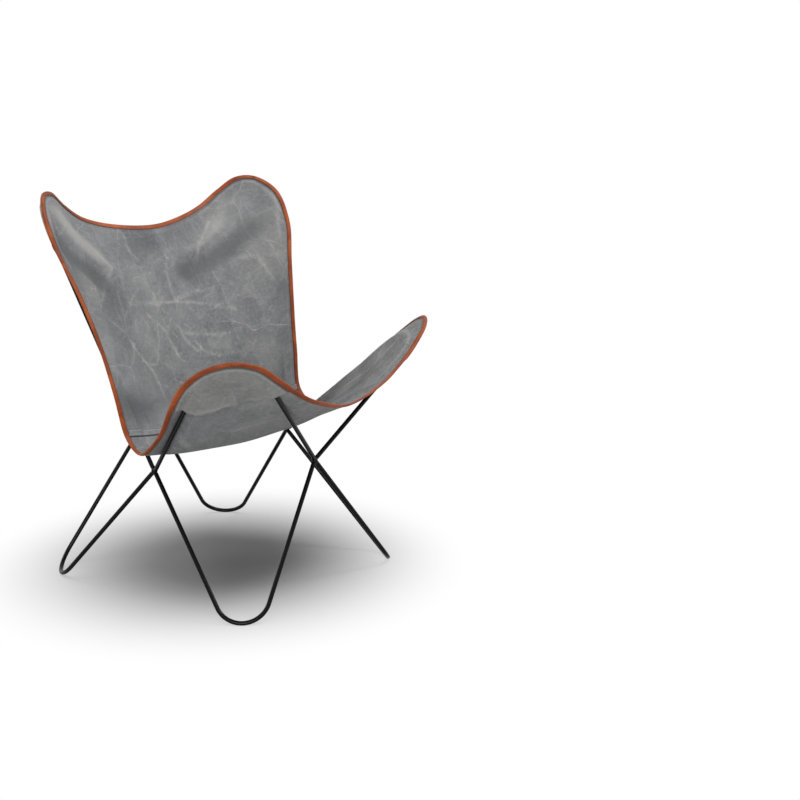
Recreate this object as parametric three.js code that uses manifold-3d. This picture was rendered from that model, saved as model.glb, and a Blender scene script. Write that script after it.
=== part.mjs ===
// A butterfly sling chair. Eight bent rods make its frame: four bows that reach up to the
// peaks and four legs that reach down to the floor, joined in weld knots at four crossings.
// A canvas sling of two panels hangs on it, with a pocket over each peak and bound edges.
// Millimetres, +Z up. The sitter faces -Y and has +X on the left.

import * as THREE from "three";
import Module from "manifold-3d";
import { mergeVertices } from "three/addons/utils/BufferGeometryUtils.js";

const wasm = await Module();
wasm.setup();

// Rod
const rod_diameter = 10;
const rod_sides = 12;
const bend_steps = 12;
const back_peak_radius = 74;
const front_peak_radius = 90;
const foot_radius = 60;

// Where the bends of the peaks and the feet have their centres, on the +X side
const back_peak_spread = 307;
const back_peak_setback = 210;
const back_peak_height = 809;
const front_peak_spread = 258;
const front_peak_advance = 254;
const front_peak_height = 491;
const back_foot_spread = 253.5;
const back_foot_setback = 280.5;
const front_foot_spread = 233;
const front_foot_advance = 239;

// The four crossings
const side_joint_spread = 226;
const side_joint_setback = 26;
const side_joint_height = 289;
const front_joint_advance = 253;
const front_joint_height = 308;
const back_joint_setback = 269;
const back_joint_height = 348;
const knot_half_width = 8.5;
const knot_half_height = 11;
const knot_segments = 16;

// Canvas, leather and the small gap between pieces that touch
const canvas_thickness = 1.6;
const leather_thickness = 1.2;
const binding_width = 13;
const touch_gap = 0.35;
const seam_gap = 0.6;
const drape_lift = 8.5;
const drape_reach = 40;

// The sling's edge: how far it stands past the rods, and where it sags between the peaks
const back_overhang = 24;
const front_overhang = 50;
const back_edge_setback = 34.5;
const back_edge_rise = 28.6;
const front_edge_advance = 105;
const front_edge_drop = 37.5;
const trough_reach = 73.5;
const trough_advance = 25;
const trough_rise = 60;
const belly_drop = 29;
const belly_setback = 9;
const seat_sag = 20;
const back_bow_out = 37;

// The cut pattern of the canvas, measured from the middle of its seam
const pattern_half_width = 300;
const pattern_back_length = 505;
const pattern_seat_length = 430;
const past_rod_inset = 14;
const inner_ring_shares = [0.9, 0.77, 0.63, 0.49, 0.35, 0.22, 0.1];
const plain_rod_inset = 26;
const march_step_share = 0.1;

// Stations round the edge stand at every half row of its table, and at the two edges of the
// seam's fell beside each end of the seam
const stations_per_row = 2;
const fell_row_share = 0.2;

// Each pocket reaches from one station of the edge to another, counted from the middle of the
// back, and its hem goes straight across, this far in from the edge at its ends
const back_pocket_station_counts = [5, 14];
const front_pocket_station_counts = [30, 41];
const hem_end_inset = 20;
const hem_dip = 6;
const pocket_ring_shares = [0.12, 0.3, 0.6, 1];
const pocket_corner_out = 10;
const pocket_corner_drop = 7.5;
const flange_share = 0.8;
const binding_end_share = 0.02;
const fell_width_share = 0.9;

const black_steel = { color: 0x17181a, roughness: 0.4, metalness: 0.1 };
const grey_canvas = { color: 0x7f8385, roughness: 0.9, metalness: 0 };
const tan_leather = { color: 0x9a4a26, roughness: 0.6, metalness: 0 };

const rod_radius = rod_diameter / 2;
const march_step = rod_diameter * march_step_share;
const farthest_rod_inset = 2 * drape_reach;
const turn = Math.PI / 180;
const up = new THREE.Vector3(0, 0, 1);
const chair = new THREE.Group();

function at(x, y, z) {
  return new THREE.Vector3(x, y, z);
}

function addPiece(name, geometry, finish) {
  const piece = new THREE.Mesh(geometry, new THREE.MeshStandardMaterial(finish));
  piece.name = name;
  chair.add(piece);
}

// Solids go to the boolean library with shared vertices, and come back as plain geometry.
function toSolid(geometry) {
  const bare = new THREE.BufferGeometry();
  bare.setAttribute("position", geometry.getAttribute("position"));
  bare.setIndex(geometry.getIndex());
  const merged = mergeVertices(bare);
  const vertProperties = new Float32Array(merged.getAttribute("position").array);
  const triVerts = new Uint32Array(merged.getIndex().array);
  return new wasm.Manifold(new wasm.Mesh({ numProp: 3, vertProperties, triVerts }));
}

function fromSolid(solid) {
  const mesh = solid.getMesh();
  const geometry = new THREE.BufferGeometry();
  geometry.setAttribute("position", new THREE.BufferAttribute(mesh.vertProperties, 3));
  geometry.setIndex(new THREE.BufferAttribute(mesh.triVerts, 1));
  geometry.computeVertexNormals();
  return geometry;
}

// A rod's centreline: straight runs, with every station of its bend given.
class RodPath extends THREE.Curve {
  constructor(stations) {
    super();
    this.stations = stations;
  }

  getPoint(share, target = new THREE.Vector3()) {
    const place = THREE.MathUtils.clamp(share, 0, 1) * (this.stations.length - 1);
    const before = Math.min(Math.floor(place), this.stations.length - 2);
    return target.lerpVectors(this.stations[before], this.stations[before + 1], place - before);
  }

  getPointAt(share, target) {
    return this.getPoint(share, target);
  }

  getTangentAt(share, target) {
    return this.getTangent(share, target);
  }
}

function tubeAlong(stations, radius) {
  const section = new THREE.Shape();
  section.absarc(0, 0, radius, 0, 2 * Math.PI);
  return new THREE.ExtrudeGeometry(section, {
    steps: stations.length - 1,
    curveSegments: rod_sides,
    bevelEnabled: false,
    extrudePath: new RodPath(stations),
  });
}

// A hairpin of rod: from one joint, round a bend, and back to the other joint. Its axis points
// from the joints to the bend, its side to the first joint's leg, and its inner normal to the
// middle of the chair.
function hairpin(first, second, centre, radius) {
  const toFirst = first.clone().sub(centre);
  const toSecond = second.clone().sub(centre);
  const normal = toFirst.clone().cross(toSecond).normalize();
  const middle = at(0, 0, centre.z);
  if (normal.dot(middle.sub(centre)) < 0) normal.negate();
  const touch = (joint, away) => {
    const line = joint.clone().sub(centre);
    const swing = Math.acos(radius / line.length());
    const ahead = line.normalize();
    const across = normal.clone().cross(ahead);
    const spots = [1, -1].map((hand) => centre.clone()
      .addScaledVector(ahead, radius * Math.cos(swing))
      .addScaledVector(across, hand * radius * Math.sin(swing)));
    return spots.sort((a, b) => b.distanceTo(away) - a.distanceTo(away))[0];
  };
  const firstTouch = touch(first, second);
  const secondTouch = touch(second, first);
  const firstArm = firstTouch.clone().sub(centre);
  const secondArm = secondTouch.clone().sub(centre);
  const axis = firstArm.clone().add(secondArm).normalize();
  const inner = first.clone().add(second).multiplyScalar(0.5).sub(centre);
  if (axis.dot(inner) > 0) axis.negate();
  const side = normal.clone().cross(axis);
  if (side.dot(firstArm) < 0) side.negate();
  const sweep = Math.atan2(firstArm.dot(side), firstArm.dot(axis));
  const round = (angle, reach) => centre.clone()
    .addScaledVector(axis, reach * Math.cos(angle))
    .addScaledVector(side, reach * Math.sin(angle));
  const stations = [first.clone()];
  for (let step = 0; step <= bend_steps; step += 1) {
    stations.push(round(sweep - (2 * sweep * step) / bend_steps, radius));
  }
  stations.push(second.clone());
  return { first, second, centre, radius, normal, axis, side, firstTouch, round, stations };
}

// The centre height at which a foot's bend just rests on the floor.
function settledFoot(first, second, spread, depth) {
  let height = foot_radius;
  for (let pass = 0; pass < 12; pass += 1) {
    const centre = at(spread, depth, height);
    const normal = first.clone().sub(centre).cross(second.clone().sub(centre)).normalize();
    const droop = Math.sqrt(1 - normal.z * normal.z) * foot_radius;
    height = rod_radius + droop;
  }
  return hairpin(first, second, at(spread, depth, height), foot_radius);
}

const side_joint = at(side_joint_spread, side_joint_setback, side_joint_height);
const front_joint = at(0, -front_joint_advance, front_joint_height);
const back_joint = at(0, back_joint_setback, back_joint_height);
const back_centre = at(back_peak_spread, back_peak_setback, back_peak_height);
const front_centre = at(front_peak_spread, -front_peak_advance, front_peak_height);
const back_bow = hairpin(side_joint, back_joint, back_centre, back_peak_radius);
const front_bow = hairpin(side_joint, front_joint, front_centre, front_peak_radius);
const back_leg = settledFoot(side_joint, back_joint, back_foot_spread, back_foot_setback);
const front_leg = settledFoot(side_joint, front_joint, front_foot_spread, -front_foot_advance);

function mirrored(points) {
  return points.map((point) => at(-point.x, point.y, point.z));
}

// Weld knots: each a small lump of weld metal that the four rod ends run into.
function knotAt(place, grow) {
  const lump = new THREE.SphereGeometry(1, knot_segments, knot_segments - 4);
  lump.rotateX(Math.PI / 2);
  lump.scale(knot_half_width + grow, knot_half_width + grow, knot_half_height + grow);
  lump.translate(place.x, place.y, place.z);
  return lump;
}

const left_joint = side_joint;
const right_joint = at(-side_joint.x, side_joint.y, side_joint.z);
const knots = {
  weld_knot_left: left_joint,
  weld_knot_right: right_joint,
  weld_knot_front: front_joint,
  weld_knot_back: back_joint,
};
let knot_room = null;
for (const [name, place] of Object.entries(knots)) {
  addPiece(name, knotAt(place, 0), black_steel);
  const room = toSolid(knotAt(place, touch_gap));
  knot_room = knot_room ? knot_room.add(room) : room;
}

// Rods, each coped round those before it where they meet at a knot.
const rods = [
  ["bow_back_left", back_bow.stations],
  ["bow_back_right", mirrored(back_bow.stations)],
  ["bow_front_left", front_bow.stations],
  ["bow_front_right", mirrored(front_bow.stations)],
  ["leg_back_left", back_leg.stations],
  ["leg_back_right", mirrored(back_leg.stations)],
  ["leg_front_left", front_leg.stations],
  ["leg_front_right", mirrored(front_leg.stations)],
];
let taken = knot_room;
for (const [name, stations] of rods) {
  const rod = toSolid(tubeAlong(stations, rod_radius)).subtract(taken);
  const largest = rod.decompose().sort((a, b) => b.volume() - a.volume())[0];
  addPiece(name, fromSolid(largest), black_steel);
  taken = taken.add(toSolid(tubeAlong(stations, rod_radius + touch_gap)));
}

// The sling's edge on the +X side, from the middle of the back edge, over the back peak, down
// the side edge and over the front peak, to the middle of the front edge. Each row ends with
// its place on the cut pattern, as shares of the half width and of the panel's length.
function besideBend(bow, overhang, degrees, overhang_share, lift_share) {
  return bow.round(degrees * turn, bow.radius + overhang * overhang_share)
    .addScaledVector(bow.normal, overhang * lift_share);
}

function besideLeg(bow, overhang, leg_share, overhang_share, lift_share) {
  const along = bow.firstTouch.clone().sub(bow.first);
  const outward = bow.side.clone().projectOnPlane(along.clone().normalize()).normalize();
  return bow.first.clone().addScaledVector(along, leg_share)
    .addScaledVector(outward, overhang * overhang_share)
    .addScaledVector(bow.normal, overhang * lift_share);
}

function backEdge(spread_share, setback_share, rise_share) {
  return at(back_centre.x * spread_share, back_centre.y + back_edge_setback * setback_share,
    back_centre.z + back_edge_rise * rise_share);
}

function frontEdge(spread_share, advance_share, drop_share) {
  return at(front_centre.x * spread_share, front_centre.y - front_edge_advance * advance_share,
    front_centre.z - front_edge_drop * drop_share);
}

const trough = side_joint.clone().add(at(trough_reach, -trough_advance, trough_rise));
const edge_rows = [
  [backEdge(0, 1, -0.12), 0, 1],
  [backEdge(0.345, 1.45, 0.21), 0.353, 1.02],
  [backEdge(0.613, 1.66, 1), 0.633, 1.06],
  [besideBend(back_bow, back_overhang, -65, 1, 1.11), 0.827, 1.109],
  [besideBend(back_bow, back_overhang, -29.8, 0.94, 0.83), 1, 1.149],
  [besideBend(back_bow, back_overhang, 0.3, 1, 0.37), 1.167, 1.119],
  [besideBend(back_bow, back_overhang, 39.7, 0.96, 0.09), 1.273, 1],
  [besideBend(back_bow, back_overhang, 88.6, 1.27, -0.03), 1.24, 0.832],
  [besideLeg(back_bow, back_overhang, 0.768, 1.27, 0.2), 1.117, 0.624],
  [besideLeg(back_bow, back_overhang, 0.544, 1.33, 0.04), 1.033, 0.386],
  [besideLeg(back_bow, back_overhang, 0.339, 1.5, -0.51), 1, 0.16],
  [besideLeg(back_bow, back_overhang, 0.193, 1.72, -0.98), 0.99, 0],
  [trough, 0.99, -0.114],
  [besideLeg(front_bow, front_overhang, 0.386, 0.89, -0.43), 0.997, -0.235],
  [besideLeg(front_bow, front_overhang, 0.626, 0.71, -0.41), 1.02, -0.414],
  [besideBend(front_bow, front_overhang, 88.6, 0.89, -0.3), 1.073, -0.609],
  [besideBend(front_bow, front_overhang, 52.5, 0.85, -0.14), 1.167, -0.795],
  [besideBend(front_bow, front_overhang, 24.2, 1.08, -0.01), 1.247, -0.953],
  [besideBend(front_bow, front_overhang, 0.2, 1.14, 0.11), 1.217, -1.074],
  [besideBend(front_bow, front_overhang, -23.2, 1.04, 0.12), 1.073, -1.112],
  [besideBend(front_bow, front_overhang, -52.5, 0.77, 0.05), 0.873, -1.093],
  [besideBend(front_bow, front_overhang, -85.8, 1.17, 0.13), 0.607, -1.051],
  [frontEdge(0.326, 1.05, 0.52), 0.307, -1.019],
  [frontEdge(0, 1, 1), 0, -1],
];
const back_apex_row = 5;
const seam_row = 11;
const front_apex_row = 18;

function onPattern(width_share, length_share) {
  const length = length_share < 0 ? pattern_seat_length : pattern_back_length;
  return at(width_share * pattern_half_width, length_share * length, 0);
}

const half_edge = edge_rows.map((row) => row[0]);
const half_pattern = edge_rows.map((row) => onPattern(row[1], row[2]));
const other_half = (points) => mirrored(points.slice(1, -1)).reverse();
const edge_curve = new THREE.CatmullRomCurve3([...half_edge, ...other_half(half_edge)], true);
const pattern_points = [...half_pattern, ...other_half(half_pattern)];
const pattern_curve = new THREE.CatmullRomCurve3(pattern_points, true);
const row_count = pattern_points.length;

function stationAt(row) {
  const share = row / row_count - Math.floor(row / row_count);
  const along = pattern_curve.getTangent(share);
  return {
    row,
    place: edge_curve.getPoint(share),
    pattern: pattern_curve.getPoint(share),
    inward: up.clone().cross(along).negate().normalize(),
  };
}

const station_rows = [];
for (let step = 0; step < row_count * stations_per_row; step += 1) {
  station_rows.push(step / stations_per_row);
}
for (const row of [seam_row, row_count - seam_row]) {
  station_rows.push(row - fell_row_share, row + fell_row_share);
}
station_rows.sort((a, b) => a - b);
const edge_stations = station_rows.map((row) => stationAt(row));

// The middle of the sling from front to back, held along its own profile: rows give the share of
// the way, the sag's share and the place on the pattern.
const belly = at(0, trough.y + belly_setback, trough.z - belly_drop);
const front_middle = half_edge[half_edge.length - 1];
const back_middle = half_edge[0];
const seat_profile_rows = [[0.241, 0.27, -0.78], [0.485, 0.84, -0.55], [0.702, 0.99, -0.35],
  [0.864, 0.76, -0.205], [1, 0, -0.093]];
const back_profile_rows = [[0.041, 0.82, 0], [0.206, 1, 0.18], [0.432, 0.64, 0.41],
  [0.7, 0.29, 0.69]];
const profile = [];
for (const [share, sag_share, length_share] of seat_profile_rows) {
  const place = front_middle.clone().lerp(belly, share);
  place.z -= seat_sag * sag_share;
  profile.push({ place, pattern: onPattern(0, length_share) });
}
for (const [share, out_share, length_share] of back_profile_rows) {
  const place = belly.clone().lerp(back_middle, share);
  place.y += back_bow_out * out_share;
  profile.push({ place, pattern: onPattern(0, length_share) });
}

// The smoothest surface through the edge and the profile: a thin plate bent through them all,
// solved once for its weights.
function bendingOf(distance) {
  return distance > 0 ? distance * distance * Math.log(distance) : 0;
}

function thinPlate(controls, unit) {
  const count = controls.length;
  const size = count + 3;
  const rows = [];
  for (let i = 0; i < size; i += 1) rows.push(new Array(size + 3).fill(0));
  controls.forEach((control, i) => {
    controls.forEach((other, j) => {
      rows[i][j] = bendingOf(control.pattern.distanceTo(other.pattern) / unit);
    });
    [1, control.pattern.x / unit, control.pattern.y / unit].forEach((value, j) => {
      rows[i][count + j] = value;
      rows[count + j][i] = value;
    });
    control.place.toArray(rows[i], size);
  });
  for (let pivot = 0; pivot < size; pivot += 1) {
    let best = pivot;
    for (let i = pivot + 1; i < size; i += 1) {
      if (Math.abs(rows[i][pivot]) > Math.abs(rows[best][pivot])) best = i;
    }
    [rows[pivot], rows[best]] = [rows[best], rows[pivot]];
    for (let i = 0; i < size; i += 1) {
      const factor = rows[i][pivot] / rows[pivot][pivot];
      if (i === pivot || factor === 0) continue;
      for (let j = pivot; j < size + 3; j += 1) rows[i][j] -= factor * rows[pivot][j];
    }
  }
  const weights = rows.map((row, i) => at(row[size], row[size + 1], row[size + 2])
    .divideScalar(row[i]));
  return (pattern) => {
    const place = weights[count].clone()
      .addScaledVector(weights[count + 1], pattern.x / unit)
      .addScaledVector(weights[count + 2], pattern.y / unit);
    controls.forEach((control, i) => {
      place.addScaledVector(weights[i], bendingOf(control.pattern.distanceTo(pattern) / unit));
    });
    return place;
  };
}

const sling_plate = thinPlate([...edge_stations, ...profile], pattern_half_width);

function mirroredBow(bow) {
  const [first, second, centre, normal, axis, side] = mirrored(
    [bow.first, bow.second, bow.centre, bow.normal, bow.axis, bow.side],
  );
  return { first, second, centre, normal, axis, side, stations: mirrored(bow.stations) };
}

const bows_by_side = [[back_bow, front_bow], [mirroredBow(back_bow), mirroredBow(front_bow)]];

// Where a place stands beside a bow: how far outside its rod in the bow's plane, how far
// lifted to the inner side, and the nearest spot on the rod's centreline.
function besideBow(bow, place) {
  let spot = null;
  let least = Infinity;
  const nearest = new THREE.Vector3();
  for (let i = 1; i < bow.stations.length; i += 1) {
    new THREE.Line3(bow.stations[i - 1], bow.stations[i])
      .closestPointToPoint(place, true, nearest);
    if (nearest.distanceTo(place) < least) {
      least = nearest.distanceTo(place);
      spot = nearest.clone();
    }
  }
  const offset = place.clone().sub(spot);
  const lift = offset.dot(bow.normal);
  offset.addScaledVector(bow.normal, -lift);
  const back_along = Math.min(spot.clone().sub(bow.centre).dot(bow.axis), 0);
  const heart = bow.centre.clone().addScaledVector(bow.axis, back_along);
  const outside = offset.dot(spot.clone().sub(heart)) > 0;
  return { spot, lift, out: outside ? offset.length() : -offset.length() };
}

// The cloth lies over the inner side of each bow near it, and runs from the top of the rod
// straight to the edge outside it.
function nearBows(station) {
  const bows = bows_by_side[station.place.x < 0 ? 1 : 0];
  return bows.map((bow) => ({ bow, edge: besideBow(bow, station.place) }));
}

function draped(pattern, near) {
  const place = sling_plate(pattern);
  for (const { bow, edge } of near) {
    const { lift, out } = besideBow(bow, place);
    let needed = drape_lift * (1 - (out / drape_reach) ** 2);
    if (out > 0 && edge.out > 0 && edge.out < 2 * drape_reach) {
      needed = drape_lift + ((edge.lift - drape_lift) * Math.min(out, edge.out)) / edge.out;
    }
    const close = Math.abs(out) < drape_reach || (out > 0 && out < edge.out);
    if (close && lift < needed) place.addScaledVector(bow.normal, needed - lift);
  }
  return place;
}

// How far in from the binding the cloth crosses the rod nearest to it, on the way to the middle.
function rodInset(start, heading, near) {
  for (let inset = 0; inset < farthest_rod_inset; inset += march_step) {
    const place = sling_plate(start.clone().addScaledVector(heading, inset));
    for (const { bow, edge } of near) {
      const { lift, out } = besideBow(bow, place);
      if (edge.out > 0 && out < 0 && Math.abs(lift) < drape_reach) return inset;
    }
  }
  return plain_rod_inset;
}

function normalAt(pattern, near) {
  const here = draped(pattern, near);
  const across = draped(pattern.clone().add(at(march_step, 0, 0)), near).sub(here);
  const along = draped(pattern.clone().add(at(0, march_step, 0)), near).sub(here);
  return across.cross(along).normalize();
}

// A thin closed solid round an open surface: both faces and a rim round every open border.
function thickened(vertices, triangles, thickness, shift = 0) {
  const keys = new Map();
  const merged = [];
  const index = vertices.map((vertex) => {
    const key = vertex.toArray().map((value) => value.toFixed(4)).join(" ");
    if (!keys.has(key)) {
      keys.set(key, merged.length);
      merged.push(vertex);
    }
    return keys.get(key);
  });
  const faces = triangles.map((face) => face.map((corner) => index[corner]))
    .filter(([a, b, c]) => a !== b && b !== c && c !== a);
  const normals = merged.map(() => at(0, 0, 0));
  const borders = new Map();
  for (const [a, b, c] of faces) {
    const slope = merged[b].clone().sub(merged[a]).cross(merged[c].clone().sub(merged[a]));
    [a, b, c].forEach((corner) => normals[corner].add(slope));
    for (const [from, to] of [[a, b], [b, c], [c, a]]) {
      if (borders.has(`${to} ${from}`)) borders.delete(`${to} ${from}`);
      else borders.set(`${from} ${to}`, [from, to]);
    }
  }
  const count = merged.length;
  const positions = [];
  for (const half of [thickness / 2, -thickness / 2]) {
    merged.forEach((vertex, i) => {
      const shifted = vertex.clone()
        .addScaledVector(normals[i].clone().normalize(), shift + half);
      positions.push(...shifted.toArray());
    });
  }
  const corners = [];
  for (const [a, b, c] of faces) corners.push(a, b, c, a + count, c + count, b + count);
  for (const [from, to] of borders.values()) {
    corners.push(to, from, from + count, to, from + count, to + count);
  }
  const geometry = new THREE.BufferGeometry();
  geometry.setAttribute("position", new THREE.Float32BufferAttribute(positions, 3));
  geometry.setIndex(corners);
  geometry.computeVertexNormals();
  return geometry;
}

// Two triangles for each cell of a grid of lines; the cells of the columns named in crossed are
// cut the other way, so that layers that lie face to face are cut alike.
function gridFaces(lines, columns, crossed = []) {
  const faces = [];
  for (let line = 1; line < lines; line += 1) {
    for (let column = 1; column < columns; column += 1) {
      const here = line * columns + column;
      const corner = here - columns - 1;
      if (crossed.includes(column)) {
        faces.push([corner, corner + 1, here - 1], [corner + 1, here, here - 1]);
      } else {
        faces.push([corner, corner + 1, here], [corner, here, here - 1]);
      }
    }
  }
  return faces.map(([a, b, c]) => [a, c, b]);
}

// Every station gets its line across the cloth: the edge, the inner edge of the leather
// binding, and then straight for the middle of the seam, over the rod and on.
const cloth_edge_inset = 2 * leather_thickness;
for (const station of edge_stations) {
  station.near = nearBows(station);
  const bound = station.pattern.clone().addScaledVector(station.inward, binding_width);
  const heading = bound.clone().negate().normalize();
  const rod_inset = rodInset(bound, heading, station.near);
  station.ring_patterns = [
    station.pattern.clone().addScaledVector(station.inward, cloth_edge_inset),
    bound,
    bound.clone().addScaledVector(heading, rod_inset),
    bound.clone().addScaledVector(heading, rod_inset + past_rod_inset),
  ];
  station.rings = station.ring_patterns.map((pattern) => draped(pattern, station.near));
  station.normals = station.ring_patterns.slice(0, 2)
    .map((pattern) => normalAt(pattern, station.near));
}

function lineToward(station, middle) {
  const last = station.ring_patterns[station.ring_patterns.length - 1];
  const line = [...station.rings];
  for (const share of [...inner_ring_shares, 0]) {
    line.push(draped(middle.clone().lerp(last, share), station.near));
  }
  return line;
}

function stationIndex(row) {
  return station_rows.findIndex((station_row) => station_row === row);
}

function stationsBetween(first_row, last_row) {
  const first = stationIndex(first_row);
  const last = stationIndex(last_row);
  const count = (last - first + station_rows.length) % station_rows.length;
  const run = [];
  for (let step = 0; step <= count; step += 1) {
    run.push(edge_stations[(first + step) % edge_stations.length]);
  }
  return run;
}

// One panel: a band beside the seam, and the fan of station lines that meet at its middle.
function panelLines(first_row, last_row, seam_side) {
  const run = stationsBetween(first_row, last_row);
  const middle = at(0, run[1].pattern.y, 0);
  const beside_seam = at(0, (seam_side * seam_gap) / 2, 0);
  return run.map((station, i) => {
    const at_seam = i === 0 || i === run.length - 1;
    if (!at_seam) return lineToward(station, middle);
    const shifted = { ...station };
    shifted.ring_patterns = station.ring_patterns
      .map((pattern) => at(pattern.x, beside_seam.y, 0));
    shifted.rings = shifted.ring_patterns.map((pattern) => draped(pattern, station.near));
    return lineToward(shifted, beside_seam);
  });
}

function panel(lines) {
  const faces = gridFaces(lines.length, lines[0].length);
  return thickened(lines.flat(), faces, canvas_thickness);
}

const seat_lines = panelLines(seam_row, row_count - seam_row, -1);
const back_lines = panelLines(row_count - seam_row, seam_row, 1);
addPiece("seat_panel", panel(seat_lines), grey_canvas);
addPiece("back_panel", panel(back_lines), grey_canvas);

// The seam's fell: the folded edges of both panels, sewn down as one strip on the back panel.
const seam_row_left = back_lines[back_lines.length - 1];
const beside_row_left = back_lines[back_lines.length - 2];
const seam_row_right = back_lines[0];
const beside_row_right = back_lines[1];

function fellHalf(seam_line, beside_line) {
  return seam_line.slice(1).map((place, i) => {
    const past_binding = i === 0 ? binding_end_share * 2 : 0;
    const start = place.clone().lerp(seam_line[i + 2] ?? place, past_binding);
    const beside = beside_line[i + 1].clone().lerp(beside_line[i + 2] ?? place, past_binding);
    return [start, start.clone().lerp(beside, fell_width_share)];
  });
}

const fell_left = fellHalf(seam_row_left, beside_row_left);
const fell_right = fellHalf(seam_row_right, beside_row_right).slice(0, -1);
const fell = [...fell_right, ...fell_left.reverse()];
const fell_faces = gridFaces(fell.length, 2);
const fell_shift = canvas_thickness + 2 * touch_gap;
addPiece("seam_fell", thickened(fell.flat(), fell_faces, canvas_thickness, fell_shift),
  grey_canvas);

// A pocket: a second layer of canvas on the outer side of a peak, from the bound edge, round
// the rod's bend, to a hem that runs straight across both of its legs.
const layer_pitch = canvas_thickness + touch_gap;
const back_pocket_rows = back_pocket_station_counts.map((count) => count / stations_per_row);
const front_pocket_rows = front_pocket_station_counts.map((count) => count / stations_per_row);

function pocketLift(out, edge_out, edge_lift) {
  if (out <= 0) return -drape_lift;
  if (out < pocket_corner_out) {
    const share = out / pocket_corner_out;
    return -drape_lift + (drape_lift - pocket_corner_drop) * share;
  }
  const share = (out - pocket_corner_out) / (edge_out - pocket_corner_out);
  return -pocket_corner_drop + (edge_lift + pocket_corner_drop) * share;
}

// Where a straight line in the bow's plane first comes this close to the outside of the rod.
function cornerShare(bow, from, to) {
  const length = from.distanceTo(to);
  for (let way = 0; way < length; way += march_step) {
    const place = from.clone().lerp(to, way / length);
    if (besideBow(bow, place).out < pocket_corner_out) return way / length;
  }
  return 1;
}

function inPlane(bow, place) {
  return place.clone().addScaledVector(bow.normal, bow.centre.clone().sub(place).dot(bow.normal));
}

function pocketLines(bow, [first_row, last_row]) {
  const run = stationsBetween(first_row, last_row);
  const under = run.map((station) => station.rings.slice(0, 2)
    .map((place, i) => place.clone().addScaledVector(station.normals[i], -layer_pitch)));
  const hemEnd = (station) => inPlane(bow, draped(
    station.pattern.clone().addScaledVector(station.inward, hem_end_inset), station.near,
  ));
  const first_end = hemEnd(run[0]);
  const last_end = hemEnd(run[run.length - 1]);
  const first_share = cornerShare(bow, first_end, last_end);
  const last_share = 1 - cornerShare(bow, last_end, first_end);
  return run.map((station, i) => {
    const inner_run = (i - 1) / (run.length - 3);
    let across = first_share + (last_share - first_share) * inner_run;
    if (i === 0) across = 0;
    if (i === run.length - 1) across = 1;
    const hem = first_end.clone().lerp(last_end, across)
      .addScaledVector(bow.axis, -hem_dip * Math.sin(Math.PI * across));
    const [edge, inner] = under[i];
    const start = inPlane(bow, inner);
    const { out: edge_out, lift: edge_lift } = besideBow(bow, inner);
    const corner = cornerShare(bow, start, hem);
    const shares = [corner * 0.999, ...pocket_ring_shares.map((share) => corner
      + (1 - corner) * share)];
    const laid = shares.map((share) => {
      const place = start.clone().lerp(hem, share);
      const { out } = besideBow(bow, place);
      const lift = pocketLift(Math.min(out, edge_out), edge_out, edge_lift);
      return place.addScaledVector(bow.normal, lift);
    });
    return [edge, inner, ...laid];
  });
}

function addPocket(name, lines) {
  const faces = gridFaces(lines.length, lines[0].length);
  addPiece(name, thickened(lines.flat(), faces, canvas_thickness), grey_canvas);
}

const back_pocket_lines = pocketLines(back_bow, back_pocket_rows);
const front_pocket_lines = pocketLines(front_bow, front_pocket_rows);
addPocket("pocket_back_left", back_pocket_lines);
addPocket("pocket_back_right", back_pocket_lines.map(mirrored).reverse());
addPocket("pocket_front_left", front_pocket_lines);
addPocket("pocket_front_right", front_pocket_lines.map(mirrored).reverse());

// Leather binding: a strip folded over the canvas's edge, over both layers at a pocket. The
// four lengths of it meet at the peaks.
function isDoubled(row) {
  const own_row = Math.min(row, row_count - row);
  return [back_pocket_rows, front_pocket_rows]
    .some(([first_row, last_row]) => own_row >= first_row && own_row <= last_row);
}

function bindingSection(station) {
  const [edge, inner] = station.rings;
  const [edge_normal, inner_normal] = station.normals;
  const extra = isDoubled(station.row) ? layer_pitch / 2 : 0;
  const reach = canvas_thickness / 2 + extra + touch_gap + leather_thickness / 2;
  const outward = edge.clone().sub(inner).normalize();
  const nose = edge.clone().addScaledVector(edge_normal, -extra)
    .addScaledVector(outward, cloth_edge_inset - leather_thickness / 2);
  const shoulder = edge.clone().addScaledVector(outward, leather_thickness / 2);
  const tip = edge.clone().lerp(inner, flange_share);
  const tip_normal = edge_normal.clone().lerp(inner_normal, flange_share).normalize();
  return [
    tip.clone().addScaledVector(tip_normal, reach - extra),
    shoulder.clone().addScaledVector(edge_normal, reach - extra),
    nose,
    shoulder.clone().addScaledVector(edge_normal, -reach - extra),
    tip.clone().addScaledVector(tip_normal, -reach - extra),
  ];
}

function towards(section, other, share) {
  return section.map((place, i) => place.clone().lerp(other[i], share));
}

function addBinding(name, first_row, last_row) {
  const run = stationsBetween(first_row, last_row).map(bindingSection);
  const last = run.length - 1;
  run[0] = towards(run[0], run[1], binding_end_share);
  run[last] = towards(run[last], run[last - 1], binding_end_share);
  const upper_flange_column = 1;
  const faces = gridFaces(run.length, run[0].length, [upper_flange_column]);
  addPiece(name, thickened(run.flat(), faces, leather_thickness), tan_leather);
}

addBinding("binding_back", row_count - back_apex_row, back_apex_row);
addBinding("binding_left", back_apex_row, front_apex_row);
addBinding("binding_front", front_apex_row, row_count - front_apex_row);
addBinding("binding_right", row_count - front_apex_row, row_count - back_apex_row);

// The chair stands on the floor, with the middle of its depth over the origin.
const chair_box = new THREE.Box3().setFromObject(chair);
const depth_middle = chair_box.getCenter(new THREE.Vector3()).y;
chair.position.set(0, -depth_middle, -chair_box.min.z);

export default chair;
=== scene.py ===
"""A butterfly sling chair: a black rod frame with a waxed canvas sling bound in tan leather."""
import math
from functools import partial

import bmesh
import bpy
import numpy as np
from mathutils import Matrix, Vector


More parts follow.
